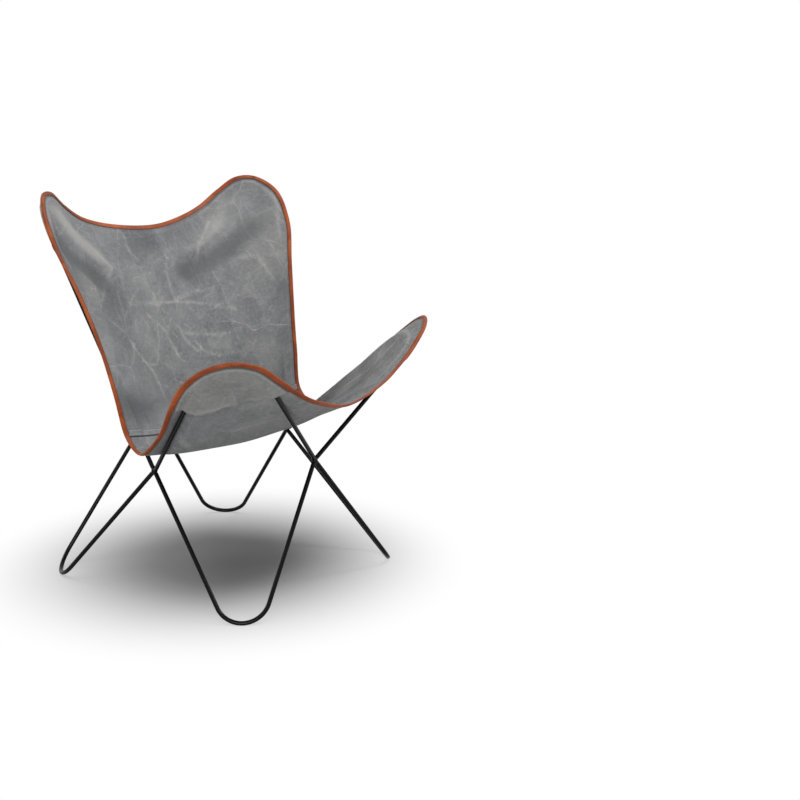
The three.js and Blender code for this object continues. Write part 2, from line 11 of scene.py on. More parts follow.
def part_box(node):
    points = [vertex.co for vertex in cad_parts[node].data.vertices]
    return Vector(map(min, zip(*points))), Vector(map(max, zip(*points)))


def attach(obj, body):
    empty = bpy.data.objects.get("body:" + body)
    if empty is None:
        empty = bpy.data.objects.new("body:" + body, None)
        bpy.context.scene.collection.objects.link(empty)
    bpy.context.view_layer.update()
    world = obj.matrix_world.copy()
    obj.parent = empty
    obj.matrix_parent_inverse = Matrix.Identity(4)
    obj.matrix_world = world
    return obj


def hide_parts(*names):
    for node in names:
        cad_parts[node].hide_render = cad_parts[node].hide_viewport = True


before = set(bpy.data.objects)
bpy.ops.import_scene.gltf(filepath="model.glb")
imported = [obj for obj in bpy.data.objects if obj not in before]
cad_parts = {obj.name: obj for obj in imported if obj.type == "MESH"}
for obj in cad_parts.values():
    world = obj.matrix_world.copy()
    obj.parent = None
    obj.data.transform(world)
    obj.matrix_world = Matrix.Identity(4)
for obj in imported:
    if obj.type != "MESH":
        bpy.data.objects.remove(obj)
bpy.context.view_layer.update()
scene = bpy.context.scene
scene.view_settings.view_transform = "Standard"

# Camera
# The chair is seen from in front and a little above, from the sitter's right. All places in
# this file are worked out about the frame's own middle, which stands depth_shift behind the
# middle of the whole chair.
front_knot_advance = 0.253
knot_low, knot_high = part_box("weld_knot_front")
depth_shift = (knot_low[1] + knot_high[1]) / 2 + front_knot_advance


def placed(points):
    """Places counted from the frame's own middle, moved to where the whole chair stands."""
    return np.asarray(points, float) + np.array([0.0, depth_shift, 0.0])


camera_azimuth = math.radians(-143.9)
camera_elevation = math.radians(13.6)
camera_distance = 3.1496
camera_target = Vector(placed([0.271, -0.2934, 0.400]))
photo_width_px = 800
focal_length_px = 1322.9
film_width_mm = 36
away = Vector((
    math.cos(camera_elevation) * math.cos(camera_azimuth),
    math.cos(camera_elevation) * math.sin(camera_azimuth),
    math.sin(camera_elevation),
))
camera_data = bpy.data.cameras.new("camera")
camera_data.sensor_width = film_width_mm
camera_data.lens = film_width_mm * focal_length_px / photo_width_px
camera = bpy.data.objects.new("camera", camera_data)
camera_right = Vector((0, 0, 1)).cross(away).normalized()
camera.matrix_world = Matrix.Translation(camera_target + away * camera_distance) @ Matrix(
    (camera_right, away.cross(camera_right), away)
).transposed().to_4x4()
scene.collection.objects.link(camera)
scene.camera = camera

# Frame rods
# Eight lengths of bent steel rod, 10 mm thick, powder coated in satin black. Four bows reach
# up to the peaks and four legs down to the floor. At each crossing two rods turn a tight
# corner over two that turn one under it, and the corners are welded back to back.
rod_radius = 0.005
rod_sides = 20
bend_steps = 44
corner_steps = 9
corner_radius = 0.0085
sharp_edge = math.radians(50)
off_every_rod = np.array([0.3, 0.2, 0.93])
settling_rounds = 12
joint_places = {
    "left": np.array([0.226, 0.026, 0.289]),
    "front": np.array([0.0, -0.253, 0.308]),
    "back": np.array([0.0, 0.269, 0.348]),
}
bend_places = {
    "bow_back": ("back", np.array([0.307, 0.210, 0.809]), 0.074),
    "bow_front": ("front", np.array([0.258, -0.254, 0.491]), 0.090),
    "leg_back": ("back", np.array([0.2535, 0.2805, 0.053]), 0.060),
    "leg_front": ("front", np.array([0.233, -0.239, 0.053]), 0.060),
}
other_side = np.array([-1.0, 1.0, 1.0])


def unit(vector):
    return vector / np.linalg.norm(vector, axis=-1, keepdims=True)


def hairpin(first, second, centre, radius):
    """A rod that runs from one corner round a bend to another: its plane and its stations."""
    normal = unit(np.cross(first - centre, second - centre))
    if normal @ (np.array([0, 0, centre[2]]) - centre) < 0:
        normal = -normal

    def touch(corner, away_from):
        line = corner - centre
        swing = math.acos(radius / np.linalg.norm(line))
        ahead = unit(line)
        across = np.cross(normal, ahead)
        spots = [
            centre + radius * (ahead * math.cos(swing) + hand * across * math.sin(swing))
            for hand in (1, -1)
        ]
        return max(spots, key=lambda spot: np.linalg.norm(spot - away_from))

    first_touch, second_touch = touch(first, second), touch(second, first)
    axis = unit(first_touch + second_touch - 2 * centre)
    if axis @ (first + second - 2 * centre) > 0:
        axis = -axis
    side = np.cross(normal, axis)
    if side @ (first_touch - centre) < 0:
        side = -side
    sweep = math.atan2((first_touch - centre) @ side, (first_touch - centre) @ axis)
    angles = np.linspace(sweep, -sweep, bend_steps + 1)[:, None]
    bend = centre + radius * (axis * np.cos(angles) + side * np.sin(angles))
    return {
        "first": first, "second": second, "centre": centre, "radius": radius,
        "normal": normal, "axis": axis, "side": side,
        "first_touch": first_touch, "second_touch": second_touch,
        "bend": bend, "stations": np.vstack([first, bend, second]),
    }


def settled(first, second, centre, radius):
    """The same, with the bend lowered until the rod just rests on the floor."""
    centre = centre.copy()
    for _ in range(settling_rounds):
        normal = unit(np.cross(first - centre, second - centre))
        centre[2] = rod_radius + radius * math.sqrt(1 - normal[2] ** 2)
    return hairpin(first, second, centre, radius)


def build_rods(corners):
    rods = {}
    for name, (end, centre, radius) in bend_places.items():
        level = "upper" if name.startswith("bow") else "lower"
        shape = hairpin if level == "upper" else settled
        rods[name] = shape(corners["left", level], corners[end, level], centre, radius)
    return rods


def leaving_directions(rods, place, level):
    """Which way the two rods leave a corner."""
    family = "bow" if level == "upper" else "leg"
    if place == "left":
        pair = [rods[family + "_back"], rods[family + "_front"]]
        return [unit(rod["first_touch"] - rod["first"]) for rod in pair]
    rod = rods[f"{family}_{place}"]
    way = unit(rod["second_touch"] - rod["second"])
    return [way, way * other_side]


# The drawn lines of the rods meet in the middle of each weld. The real corners are set off
# from it, so that their rounded outsides touch there.
sling_rods = build_rods({
    (place, level): spot for place, spot in joint_places.items() for level in ("upper", "lower")
})
corners = {}
for place, spot in joint_places.items():
    for level in ("upper", "lower"):
        one, two = leaving_directions(sling_rods, place, level)
        half_angle = math.acos(np.clip(one @ two, -1, 1)) / 2
        rounding = corner_radius * (1 / math.sin(half_angle) - 1)
        corners[place, level] = spot + unit(one + two) * (rod_radius - rounding)
frame_rods = build_rods(corners)


def half_corner(corner, own_way, other_way):
    """The rounded corner from its middle to where the straight run starts."""
    bisector = unit(own_way + other_way)
    half_angle = math.acos(np.clip(own_way @ bisector, -1, 1))
    centre = corner + bisector * corner_radius / math.sin(half_angle)
    start = corner + own_way * corner_radius / math.tan(half_angle)
    out = unit(start - centre - bisector * ((start - centre) @ bisector))
    turns = np.linspace(0, math.pi / 2 - half_angle, corner_steps + 1)[:, None]
    return centre + corner_radius * (out * np.sin(turns) - bisector * np.cos(turns))


def ring_quads(rings, sides):
    """The faces between each ring of points and the next one."""
    ring, here = np.divmod(np.arange((rings - 1) * sides), sides)
    start, after = ring * sides, (here + 1) % sides
    return np.stack(
        [start + here, start + after, start + sides + after, start + sides + here], axis=1)


def mesh_object(name, vertices, faces, uvs=None):
    mesh = bpy.data.meshes.new(name)
    mesh.from_pydata([tuple(v) for v in vertices], [], [tuple(f) for f in faces])
    mesh.validate()
    mesh.polygons.foreach_set("use_smooth", [True] * len(mesh.polygons))
    mesh.set_sharp_from_angle(angle=sharp_edge)
    if uvs is not None:
        layer = mesh.uv_layers.new(name="surface")
        layer.data.foreach_set("uv", np.asarray(uvs, float).ravel())
    piece = bpy.data.objects.new(name, mesh)
    scene.collection.objects.link(piece)
    return piece


def tube_mesh(name, path, radius, sides):
    """A round bar along a path, closed at both ends."""
    ways = unit(np.gradient(path, axis=0))
    across = np.cross(ways[0], off_every_rod)
    angles = np.linspace(0, 2 * math.pi, sides, endpoint=False)[:, None]
    rings = []
    for spot, way in zip(path, ways):
        across = unit(across - way * (across @ way))
        rings.append(spot + radius * (
            across * np.cos(angles) + np.cross(way, across) * np.sin(angles)))
    last_ring = (len(path) - 1) * sides
    ends = [range(sides)[::-1], range(last_ring, last_ring + sides)]
    return mesh_object(name, np.vstack(rings), [*ring_quads(len(path), sides), *ends])


def math_node(operation, swapped=False):
    """One of the operators below: it adds a Math node, its own tone first or, swapped, last."""

    def operator(self, other=0.0):
        pair = [other, self] if swapped else [self, other]
        node = self.finish.node("ShaderNodeMath", {"operation": operation}, pair)
        return Tone(self.finish, node.outputs[0])

    return operator


class Tone:
    """A number that varies over a surface. Arithmetic on it adds the shader's Math nodes."""

    def __init__(self, finish, socket):
        self.finish, self.socket = finish, socket

    __add__, __radd__ = math_node("ADD"), math_node("ADD", swapped=True)
    __sub__, __rsub__ = math_node("SUBTRACT"), math_node("SUBTRACT", swapped=True)
    __mul__, __rmul__ = math_node("MULTIPLY"), math_node("MULTIPLY", swapped=True)
    __pow__, __rpow__ = math_node("POWER"), math_node("POWER", swapped=True)
    magnitude, sine = math_node("ABSOLUTE"), math_node("SINE")

    def between(self, low, high):
        """0 up to low, 1 from high on and smooth between them. High may be the lesser value."""
        node = self.finish.node(
            "ShaderNodeMapRange", {"interpolation_type": "SMOOTHSTEP"},
            {"Value": self, "From Min": low, "From Max": high})
        return Tone(self.finish, node.outputs["Result"])


class Finish:
    """A material under construction, and the one method that adds each node to it."""

    def __init__(self, name):
        self.material = bpy.data.materials.new(name)
        self.material.use_nodes = True
        self.tree = self.material.node_tree
        self.shader = self.tree.nodes["Principled BSDF"]

    def node(self, kind, settings=None, inputs=None):
        node = self.tree.nodes.new(kind)
        for key, value in (settings or {}).items():
            setattr(node, key, value)
        pairs = inputs.items() if isinstance(inputs, dict) else enumerate(inputs or [])
        for key, value in pairs:
            self.join(value, node.inputs[key])
        return node

    def join(self, value, socket):
        if isinstance(value, Tone):
            value = value.socket
        if isinstance(value, bpy.types.NodeSocket):
            self.tree.links.new(value, socket)
        else:
            socket.default_value = value

    def shade(self, **inputs):
        """Sets the shader's own sockets, named as they are but in small letters."""
        for key, value in inputs.items():
            label = key.replace("_", " ").title().replace("Ior", "IOR")
            self.join(value, self.shader.inputs[label])

    def noise(self, place, scale, detail=3.0, roughness=0.55, distortion=0.0):
        node = self.node("ShaderNodeTexNoise", None, {
            "Vector": place, "Scale": scale, "Detail": detail, "Roughness": roughness,
            "Distortion": distortion})
        return Tone(self, node.outputs["Fac"])

    def blend(self, share, first, second):
        """A mix of two colours by a share."""
        node = self.node("ShaderNodeMix", {"data_type": "RGBA"})
        self.join(share, node.inputs["Factor"])
        for value, socket in zip((first, second), [s for s in node.inputs if s.type == "RGBA"]):
            self.join((*value, 1) if isinstance(value, tuple) else value, socket)
        return [s for s in node.outputs if s.type == "RGBA"][0]

    def relief(self, height, distance, strength=1.0, normal=None):
        inputs = {"Height": height, "Distance": distance, "Strength": strength}
        if normal is not None:
            inputs["Normal"] = normal
        return self.node("ShaderNodeBump", None, inputs).outputs[0]


def srgb(*channels):
    """A colour given as its 8-bit screen values, made linear by the standard screen curve."""
    return tuple(
        c / 255 / 12.92 if c / 255 <= 0.04045 else ((c / 255 + 0.055) / 1.055) ** 2.4
        for c in channels)


black_coat = Finish("black_powder_coat")
coat_place = black_coat.node("ShaderNodeTexCoord").outputs["Object"]
coat_pebble = black_coat.noise(coat_place, scale=900.0, detail=2.0)
coat_wear = black_coat.noise(
    coat_place, scale=14.0, detail=5.0, roughness=0.65).between(0.50, 0.75)
black_coat.shade(
    base_color=black_coat.blend(coat_wear, srgb(3, 3, 4), srgb(10, 10, 11)),
    roughness=0.24 + 0.08 * coat_wear + 0.06 * coat_pebble,
    specular_ior_level=0.12,
    normal=black_coat.relief(coat_pebble, distance=0.0002, strength=0.35),
)


def rod_path(name, side):
    rod = frame_rods[name]
    level = "upper" if name.startswith("bow") else "lower"
    end = bend_places[name][0]
    first_ways = leaving_directions(frame_rods, "left", level)
    own, other = first_ways if name.endswith("back") else first_ways[::-1]
    second_ways = leaving_directions(frame_rods, end, level)
    path = np.vstack([
        half_corner(rod["first"], own, other),
        rod["bend"],
        half_corner(rod["second"], *second_ways)[::-1],
    ])
    return path if side == "left" else path * other_side


for name in bend_places:
    for side in ("left", "right"):
        rod = tube_mesh(f"rod_{name}_{side}", placed(rod_path(name, side)), rod_radius, rod_sides)
        rod.data.materials.append(black_coat.material)
        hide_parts(f"{name}_{side}")
        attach(rod, "root")

# Weld beads
# At each crossing the upper and the lower corner touch along a short line. A rippled bead of
# weld metal fills the groove on both sides of it, and is coated with the rods.
bead_half_length = 0.0075
bead_half_width = 0.0056
bead_half_height = 0.0032
bead_ripples = 5
bead_ripple_depth = 0.10
bead_rings = 40
bead_sides = 24
bead_closing_gap = 0.00001
bead_end_fullness = 0.3
for place in ("left", "right", "front", "back"):
    model, turned = ("left", other_side) if place == "right" else (place, 1)
    above = leaving_directions(frame_rods, model, "upper")
    along = unit(above[0] - above[1]) * turned
    lift = unit(above[0] + above[1]) * turned
    across = np.cross(lift, along)
    way = -np.cos(np.linspace(0, math.pi, bead_rings + 1))[:, None, None]
    turn = np.linspace(0, 2 * math.pi, bead_sides, endpoint=False)[:, None]
    girth = np.maximum(1 - way ** 2, 0) ** bead_end_fullness * (
        1 + bead_ripple_depth * np.cos(2 * math.pi * bead_ripples * way))
    vertices = (joint_places[model] * turned + along * way * bead_half_length
                + girth * (across * np.cos(turn) * bead_half_width
                           + lift * np.sin(turn) * bead_half_height))
    faces = ring_quads(bead_rings + 1, bead_sides)[:, [0, 3, 2, 1]]
    bead = mesh_object(f"weld_{place}", placed(vertices.reshape(-1, 3)), faces)
    closing = bead.modifiers.new("closed", "WELD")
    closing.merge_threshold = bead_closing_gap
    bead.data.materials.append(black_coat.material)
    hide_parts(f"weld_knot_{place}")
    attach(bead, "root")

# Sling form
# The sling is cut from two pieces of waxed canvas, and hangs on the four peaks. Its form is
# the smoothest sheet through its bound edge and its middle line, laid over the bows. All of
# its pieces below take their places from here, and their grain from the flat cut.
canvas_thickness = 0.0016
leather_thickness = 0.0013
binding_width = 0.0108
layer_gap = 0.00035
layer_pitch = canvas_thickness + layer_gap
rod_clearance = 0.0062
drape_reach = 0.150
drape_fade = 0.050
drape_slope = 0.30
drape_round = 0.014
crown_lift = 0.0012
near_edge_span = (0.062, 0.085)
least_distance = 1e-12
least_reach = 0.001
steepest_sine = 0.99
least_softness = 0.0012
added_softness = 0.0035
softening_span = (0.01, 0.06)
back_overhang = 0.024
front_overhang = 0.050
back_edge_setback = 0.0345
back_edge_rise = 0.0286
front_edge_advance = 0.105
front_edge_drop = 0.0375
trough_offset = np.array([0.0735, -0.025, 0.060])
belly_setback = 0.009
belly_drop = 0.029
seat_sag = 0.020
back_bow_out = 0.037
pattern_half_width = 0.300
pattern_back_length = 0.505
pattern_seat_length = 0.430
back_bow, front_bow = sling_rods["bow_back"], sling_rods["bow_front"]


def beside_bend(bow, overhang, degrees, out_share, lift_share):
    angle = math.radians(degrees)
    way = bow["axis"] * math.cos(angle) + bow["side"] * math.sin(angle)
    reach = bow["radius"] + overhang * out_share
    return bow["centre"] + way * reach + bow["normal"] * overhang * lift_share


def beside_leg(bow, overhang, leg_share, out_share, lift_share):
    run = bow["first_touch"] - bow["first"]
    outward = unit(bow["side"] - unit(run) * (bow["side"] @ unit(run)))
    return (bow["first"] + run * leg_share + outward * overhang * out_share
            + bow["normal"] * overhang * lift_share)


def near_middle(bow, setback, rise, spread_share, setback_share, rise_share):
    x, y, z = bow["centre"]
    return np.array([x * spread_share, y + setback * setback_share, z + rise * rise_share])


# Each row is a place on the edge and its place on the flat cut, from the middle of the back
# over the back peak, down the side and over the front peak to the middle of the front.
trough = joint_places["left"] + trough_offset
back_middle = partial(near_middle, back_bow, back_edge_setback, back_edge_rise)
back_bend, back_leg = (partial(way, back_bow, back_overhang) for way in (beside_bend, beside_leg))
front_bend, front_leg = (
    partial(way, front_bow, front_overhang) for way in (beside_bend, beside_leg))
front_middle = partial(near_middle, front_bow, -front_edge_advance, -front_edge_drop)
edge_rows = [
    (back_middle(0, 1, -0.12), 0, 1),
    (back_middle(0.345, 1.45, 0.21), 0.353, 1.02),
    (back_middle(0.613, 1.66, 1), 0.633, 1.06),
    (back_bend(-65, 1, 1.11), 0.827, 1.109),
    (back_bend(-29.8, 0.94, 0.83), 1, 1.149),
    (back_bend(0.3, 1, 0.37), 1.167, 1.119),
    (back_bend(39.7, 0.96, 0.09), 1.273, 1),
    (back_bend(88.6, 1.27, -0.03), 1.24, 0.832),
    (back_leg(0.768, 1.27, 0.2), 1.117, 0.624),
    (back_leg(0.544, 1.33, 0.04), 1.033, 0.386),
    (back_leg(0.339, 1.5, -0.51), 1, 0.16),
    (back_leg(0.193, 1.72, -0.98), 0.99, 0),
    (trough, 0.99, -0.114),
    (front_leg(0.386, 0.89, -0.43), 0.997, -0.235),
    (front_leg(0.626, 0.71, -0.41), 1.02, -0.414),
    (front_bend(88.6, 0.89, -0.3), 1.073, -0.609),
    (front_bend(52.5, 0.85, -0.14), 1.167, -0.795),
    (front_bend(24.2, 1.08, -0.01), 1.247, -0.953),
    (front_bend(0.2, 1.14, 0.11), 1.217, -1.074),
    (front_bend(-23.2, 1.04, 0.12), 1.073, -1.112),
    (front_bend(-52.5, 0.77, 0.05), 0.873, -1.093),
    (front_bend(-85.8, 1.17, 0.13), 0.607, -1.051),
    (front_middle(0.326, 1.05, 0.52), 0.307, -1.019),
    (front_middle(0, 1, 1), 0, -1),
]
back_apex_row, seam_row, front_apex_row = 5, 11, 18
row_count = 2 * (len(edge_rows) - 1)


def cut_place(width_share, length_share):
    length = pattern_seat_length if length_share < 0 else pattern_back_length
    return np.array([width_share * pattern_half_width, length_share * length, 0.0])


def both_halves(points):
    points = np.array(points)
    return np.vstack([points, (points[1:-1] * other_side)[::-1]])


edge_points = both_halves([row[0] for row in edge_rows])
cut_points = both_halves([cut_place(*row[1:]) for row in edge_rows])


def round_curve(points, rows):
    """Places on the smooth closed curve through points, at rows counted along it."""
    rows = np.asarray(rows, float) % len(points)
    index = np.floor(rows).astype(int)
    share = (rows - index)[:, None]
    before, start, end, after = (points[(index + k) % len(points)] for k in (-1, 0, 1, 2))
    step = [np.linalg.norm(b - a, axis=1, keepdims=True) ** 0.5
            for a, b in ((before, start), (start, end), (end, after))]
    leave = step[1] * ((start - before) / step[0] - (end - before) / (step[0] + step[1])
                       + (end - start) / step[1])
    arrive = step[1] * ((end - start) / step[1] - (after - start) / (step[1] + step[2])
                        + (after - end) / step[2])
    return (start + leave * share + (3 * (end - start) - 2 * leave - arrive) * share ** 2
            + (2 * (start - end) + leave + arrive) * share ** 3)


def bending(distance):
    """How far a thin plate that is lifted at one point rises at a distance from it."""
    return distance ** 2 * np.log(np.maximum(distance, least_distance))


def thin_plate(cut, places, unit_length):
    """The smoothest sheet that takes each point of the cut to its place."""
    cut = cut[:, :2] / unit_length
    count = len(cut)
    gaps = np.linalg.norm(cut[:, None] - cut[None], axis=2)
    flat = np.hstack([np.ones((count, 1)), cut])
    left = np.block([[bending(gaps), flat], [flat.T, np.zeros((3, 3))]])
    weights = np.linalg.solve(left, np.vstack([places, np.zeros((3, 3))]))

    def sheet(pattern):
        pattern = np.asarray(pattern)[:, :2] / unit_length
        gaps = np.linalg.norm(pattern[:, None] - cut[None], axis=2)
        return (bending(gaps) @ weights[:count] + weights[count]
                + pattern @ weights[count + 1:])

    return sheet


# The sling's middle line, from the front edge down to the belly and up to the back edge.
middle_rows = []
belly = np.array([0, trough[1] + belly_setback, trough[2] - belly_drop])
back_top, front_tip = edge_rows[0][0], edge_rows[-1][0]
for share, sag_share, length_share in (
        (0.241, 0.27, -0.78), (0.485, 0.84, -0.55), (0.702, 0.99, -0.35),
        (0.864, 0.76, -0.205), (1, 0, -0.093)):
    place = front_tip + (belly - front_tip) * share
    middle_rows.append((place - [0, 0, seat_sag * sag_share], cut_place(0, length_share)))
for share, out_share, length_share in (
        (0.041, 0.82, 0), (0.206, 1, 0.18), (0.432, 0.64, 0.41), (0.7, 0.29, 0.69)):
    place = belly + (back_top - belly) * share
    middle_rows.append((place + [0, back_bow_out * out_share, 0], cut_place(0, length_share)))

control_rows = np.arange(0, row_count, 0.5)
plate = thin_plate(
    np.vstack([round_curve(cut_points, control_rows), [row[1] for row in middle_rows]]),
    np.vstack([round_curve(edge_points, control_rows), [row[0] for row in middle_rows]]),
    pattern_half_width)


def beside_bow(bow, points):
    """How far outside its rod, in the bow's plane, and how far above it each point stands."""
    starts, ends = bow["stations"][:-1], bow["stations"][1:]
    best = np.full(len(points), np.inf)
    spots = np.zeros_like(points)
    for start, run in zip(starts, ends - starts):
        share = np.clip((points - start) @ run / (run @ run), 0, 1)[:, None]
        spot = start + run * share
        gap = np.linalg.norm(points - spot, axis=1)
        nearer = gap < best
        best[nearer], spots[nearer] = gap[nearer], spot[nearer]
    offset = points - spots
    lift = offset @ bow["normal"]
    offset -= lift[:, None] * bow["normal"]
    back_along = np.minimum((spots - bow["centre"]) @ bow["axis"], 0)[:, None]
    heart = bow["centre"] + bow["axis"] * back_along
    outside = np.sign((offset * (spots - heart)).sum(axis=1))
    return outside * np.linalg.norm(offset, axis=1), lift


def mirrored_bow(bow):
    return {key: value * (1 if key == "radius" else other_side) for key, value in bow.items()}


bows_by_side = {
    1: (back_bow, front_bow),
    -1: (mirrored_bow(back_bow), mirrored_bow(front_bow)),
}


def smooth_step(value, low, high):
    """0 up to low, 1 from high on, and smooth between them."""
    share = np.clip((value - low) / (high - low), 0, 1)
    return share * share * (3 - 2 * share)


def soft_window(value, low, high, edge):
    """1 between low and high, and 0 further off than edge."""
    return smooth_step(value, low - edge, low) * (1 - smooth_step(value, high, high + edge))


def taut_line(out, edge_out, edge_lift):
    """The height of cloth pulled from its edge to the rod, and where it meets the rod."""
    reach = np.maximum(edge_out, least_reach)
    length = np.hypot(edge_lift, reach)
    steep = np.arctan2(edge_lift, reach) - np.arcsin(
        np.clip(rod_clearance / length, 0, steepest_sine))
    line = edge_lift - np.tan(steep) * (reach - np.minimum(out, reach))
    rest = rod_clearance ** 2 - out ** 2
    over_rod = np.where(rest > 0, np.sqrt(np.maximum(rest, 0)), -1.0)
    return line, over_rod, -rod_clearance * np.sin(steep)


def drape_floor(out, edge_out, edge_lift):
    """The least height of the cloth above a bow's plane: over the rod, and straight from the
    rod to the edge outside it."""
    crown = rod_clearance + crown_lift
    inside = crown - drape_slope * (np.hypot(out, drape_round) - drape_round)
    line, over_rod, _ = taut_line(out, edge_out, edge_lift)
    outside = np.maximum(np.minimum(line, crown), over_rod)
    near_edge = 1 - smooth_step(edge_out, *near_edge_span)
    outside = outside * near_edge + inside * (1 - near_edge)
    return np.where(out > 0, outside, inside)


def draped(pattern, edge_cut):
    """Places of the cloth for points of the cut, each on the line of its own edge point."""
    places = plate(pattern)
    edges = plate(edge_cut)
    for side, bows in bows_by_side.items():
        mine = edges[:, 0] * side > 0
        if not mine.any():
            continue
        for bow in bows:
            edge_out, edge_lift = beside_bow(bow, edges[mine])
            out, lift = beside_bow(bow, places[mine])
            floor = drape_floor(out, edge_out, edge_lift)
            soft = least_softness + added_softness * smooth_step(-out, *softening_span)
            close = (np.abs(out) < drape_reach) | ((out > 0) & (out < edge_out))
            wanted = np.where(
                close & (edge_out > 0),
                soft * np.logaddexp(lift / soft, floor / soft), lift)
            faded = np.where(out > 0, 1, smooth_step(drape_reach + out, 0, drape_fade))
            places[mine] += ((wanted - lift) * faded)[:, None] * bow["normal"]
    return places


# Folds that the pull of the peaks and long use leave in the cloth: the points that each runs
# through on the cut, each with its share of the fold's height, then the fold's half width and
# its height, less than nothing for a hollow.
fold_rows = [
    ([(-0.345, 0.540, 0.4), (-0.310, 0.511, 0.9), (-0.275, 0.472, 1), (-0.240, 0.446, 1),
      (-0.206, 0.420, 0.9), (-0.171, 0.399, 0.6), (-0.130, 0.375, 0)], 0.032, 0.0088),
    ([(-0.356, 0.477, 0.3), (-0.331, 0.439, 0.8), (-0.298, 0.412, 1), (-0.248, 0.394, 1),
      (-0.204, 0.371, 1), (-0.180, 0.347, 0.7), (-0.198, 0.304, 0.5), (-0.205, 0.255, 0)],
     0.033, -0.0092),
    ([(-0.330, 0.390, 0.2), (-0.279, 0.372, 0.7), (-0.269, 0.338, 0.9), (-0.278, 0.295, 0.6),
      (-0.262, 0.219, 0.2), (-0.262, 0.180, 0)], 0.022, 0.0030),
    ([(0.000, 0.403, 0), (0.023, 0.414, 0.6), (0.076, 0.424, 0.9), (0.137, 0.430, 1),
      (0.209, 0.470, 1), (0.246, 0.516, 0.5)], 0.024, 0.0056),
    ([(0.345, 0.456, 0.3), (0.294, 0.437, 0.8), (0.245, 0.420, 1), (0.191, 0.404, 1),
      (0.138, 0.390, 1), (0.069, 0.384, 0.8), (0.015, 0.386, 0)], 0.033, -0.0078),
    ([(0.055, 0.368, 1), (0.095, 0.340, 0.6), (0.130, 0.325, 0)], 0.028, -0.0030),
    ([(0.310, 0.385, 0.4), (0.258, 0.363, 0.9), (0.200, 0.348, 0.7), (0.150, 0.350, 0)],
     0.024, 0.0030),
    ([(0.285, 0.330, 0.6), (0.290, 0.240, 1), (0.285, 0.120, 0.7), (0.260, 0.070, 0.8)],
     0.036, -0.0018),
    ([(-0.300, 0.085, 0.7), (-0.240, 0.062, 1), (-0.172, 0.072, 0.8), (-0.080, 0.080, 0.2)],
     0.044, -0.0022),
    ([(-0.120, 0.180, 0), (-0.050, 0.160, 1), (0.040, 0.130, 0.7), (0.120, 0.100, 0)],
     0.035, 0.0028),
    ([(-0.335, -0.400, 1), (-0.285, -0.330, 1), (-0.275, -0.270, 0.4)], 0.014, -0.0018),
    ([(-0.240, -0.420, 0.6), (-0.170, -0.300, 1), (-0.120, -0.240, 0.4)], 0.034, 0.0030),
    ([(0.330, -0.420, 0.5), (0.270, -0.330, 1), (0.235, -0.230, 0.4)], 0.026, 0.0042),
    ([(0.345, -0.330, 0.6), (0.300, -0.240, 1), (0.280, -0.150, 0.4)], 0.024, -0.0042),
    ([(0.180, -0.380, 0.5), (0.120, -0.250, 1), (0.140, -0.120, 0.3)], 0.030, 0.0028),
]
# Broad patches of painted shade, less than nothing, and one of painted light, given in the same
# way; they change only the canvas's colour.
painted_shade_rows = [
    ([(-0.365, 0.470, 0.5), (-0.350, 0.420, 1), (-0.325, 0.370, 0.8), (-0.310, 0.330, 0.3)],
     0.028, -0.0062),
    ([(-0.110, 0.452, 0.7), (-0.030, 0.462, 1), (0.050, 0.474, 0.9)], 0.048, -0.0048),
    ([(-0.255, 0.392, 0.8), (-0.225, 0.350, 1), (-0.215, 0.300, 0.4)], 0.026, -0.0030),
    ([(0.290, 0.330, 0.6), (0.295, 0.240, 1), (0.288, 0.120, 0.7), (0.260, 0.070, 0.8)],
     0.040, -0.0030),
    ([(-0.310, 0.090, 0.9), (-0.240, 0.062, 1), (-0.172, 0.072, 0.8), (-0.080, 0.080, 0.3)],
     0.050, -0.0060),
    ([(0.245, -0.160, 0.6), (0.224, -0.205, 1), (0.222, -0.255, 0.7), (0.215, -0.300, 0)],
     0.026, 0.0038),
]
# Sharp creases in the wax, each through these points of the cut.
crease_rows = [
    [(0.015, 0.418), (0.000, 0.383), (0.002, 0.344), (0.000, 0.313)],
    [(0.000, 0.313), (0.053, 0.301), (0.105, 0.286), (0.160, 0.259)],
    [(0.000, 0.313), (0.058, 0.328), (0.119, 0.322)],
    [(0.186, 0.483), (0.121, 0.428), (0.107, 0.400)],
    [(-0.207, 0.436), (-0.169, 0.403), (-0.200, 0.365), (-0.260, 0.308)],
    [(-0.088, 0.488), (-0.088, 0.445), (-0.075, 0.420)],
    [(-0.145, 0.318), (-0.070, 0.315), (0.000, 0.313)],
    [(0.219, 0.374), (0.258, 0.363), (0.275, 0.296)],
    [(0.000, 0.233), (0.051, 0.220), (0.113, 0.210), (0.160, 0.209)],
    [(0.022, 0.210), (0.052, 0.172), (0.117, 0.162), (0.158, 0.154)],
    [(-0.014, 0.257), (-0.004, 0.215), (0.023, 0.185)],
    [(-0.100, 0.290), (-0.060, 0.250), (-0.040, 0.180)],
    [(-0.190, 0.230), (-0.130, 0.150), (-0.120, 0.095)],
    [(-0.330, -0.360), (-0.300, -0.330), (-0.250, -0.340)],
    [(0.300, -0.380), (0.240, -0.300), (0.230, -0.220)],
    [(0.150, -0.300), (0.090, -0.220), (0.020, -0.210)],
]
crease_height = 0.0009
crease_half_width = 0.0036
# A faint ripple: a chequer of swells, with their turns and their start across and along the
# cut, and two rows of waves over it, each with its share, its two turns and its start.
ripple_height = 0.0006
swells = ((31, 1.3), (27, 0.4))
ripple_waves = ((0.6, 47, 39, 0.0), (0.5, 23, -61, 2.0))
fold_fade_span = (0.018, 0.070)
seam_rise = 0.012
seam_rise_power = 8
seam_shift_span = (0.02, 0.16)
seam_half_span = edge_rows[seam_row][1] * pattern_half_width
slope_step = 0.0015
edge_step_rows = 0.01
rod_highlight_place = -0.001
rod_highlight_half_width = 0.0065
rod_highlight_lift_span = (0.0082, 0.0125)
rod_highlight_bend_span = (0.02, 0.07)


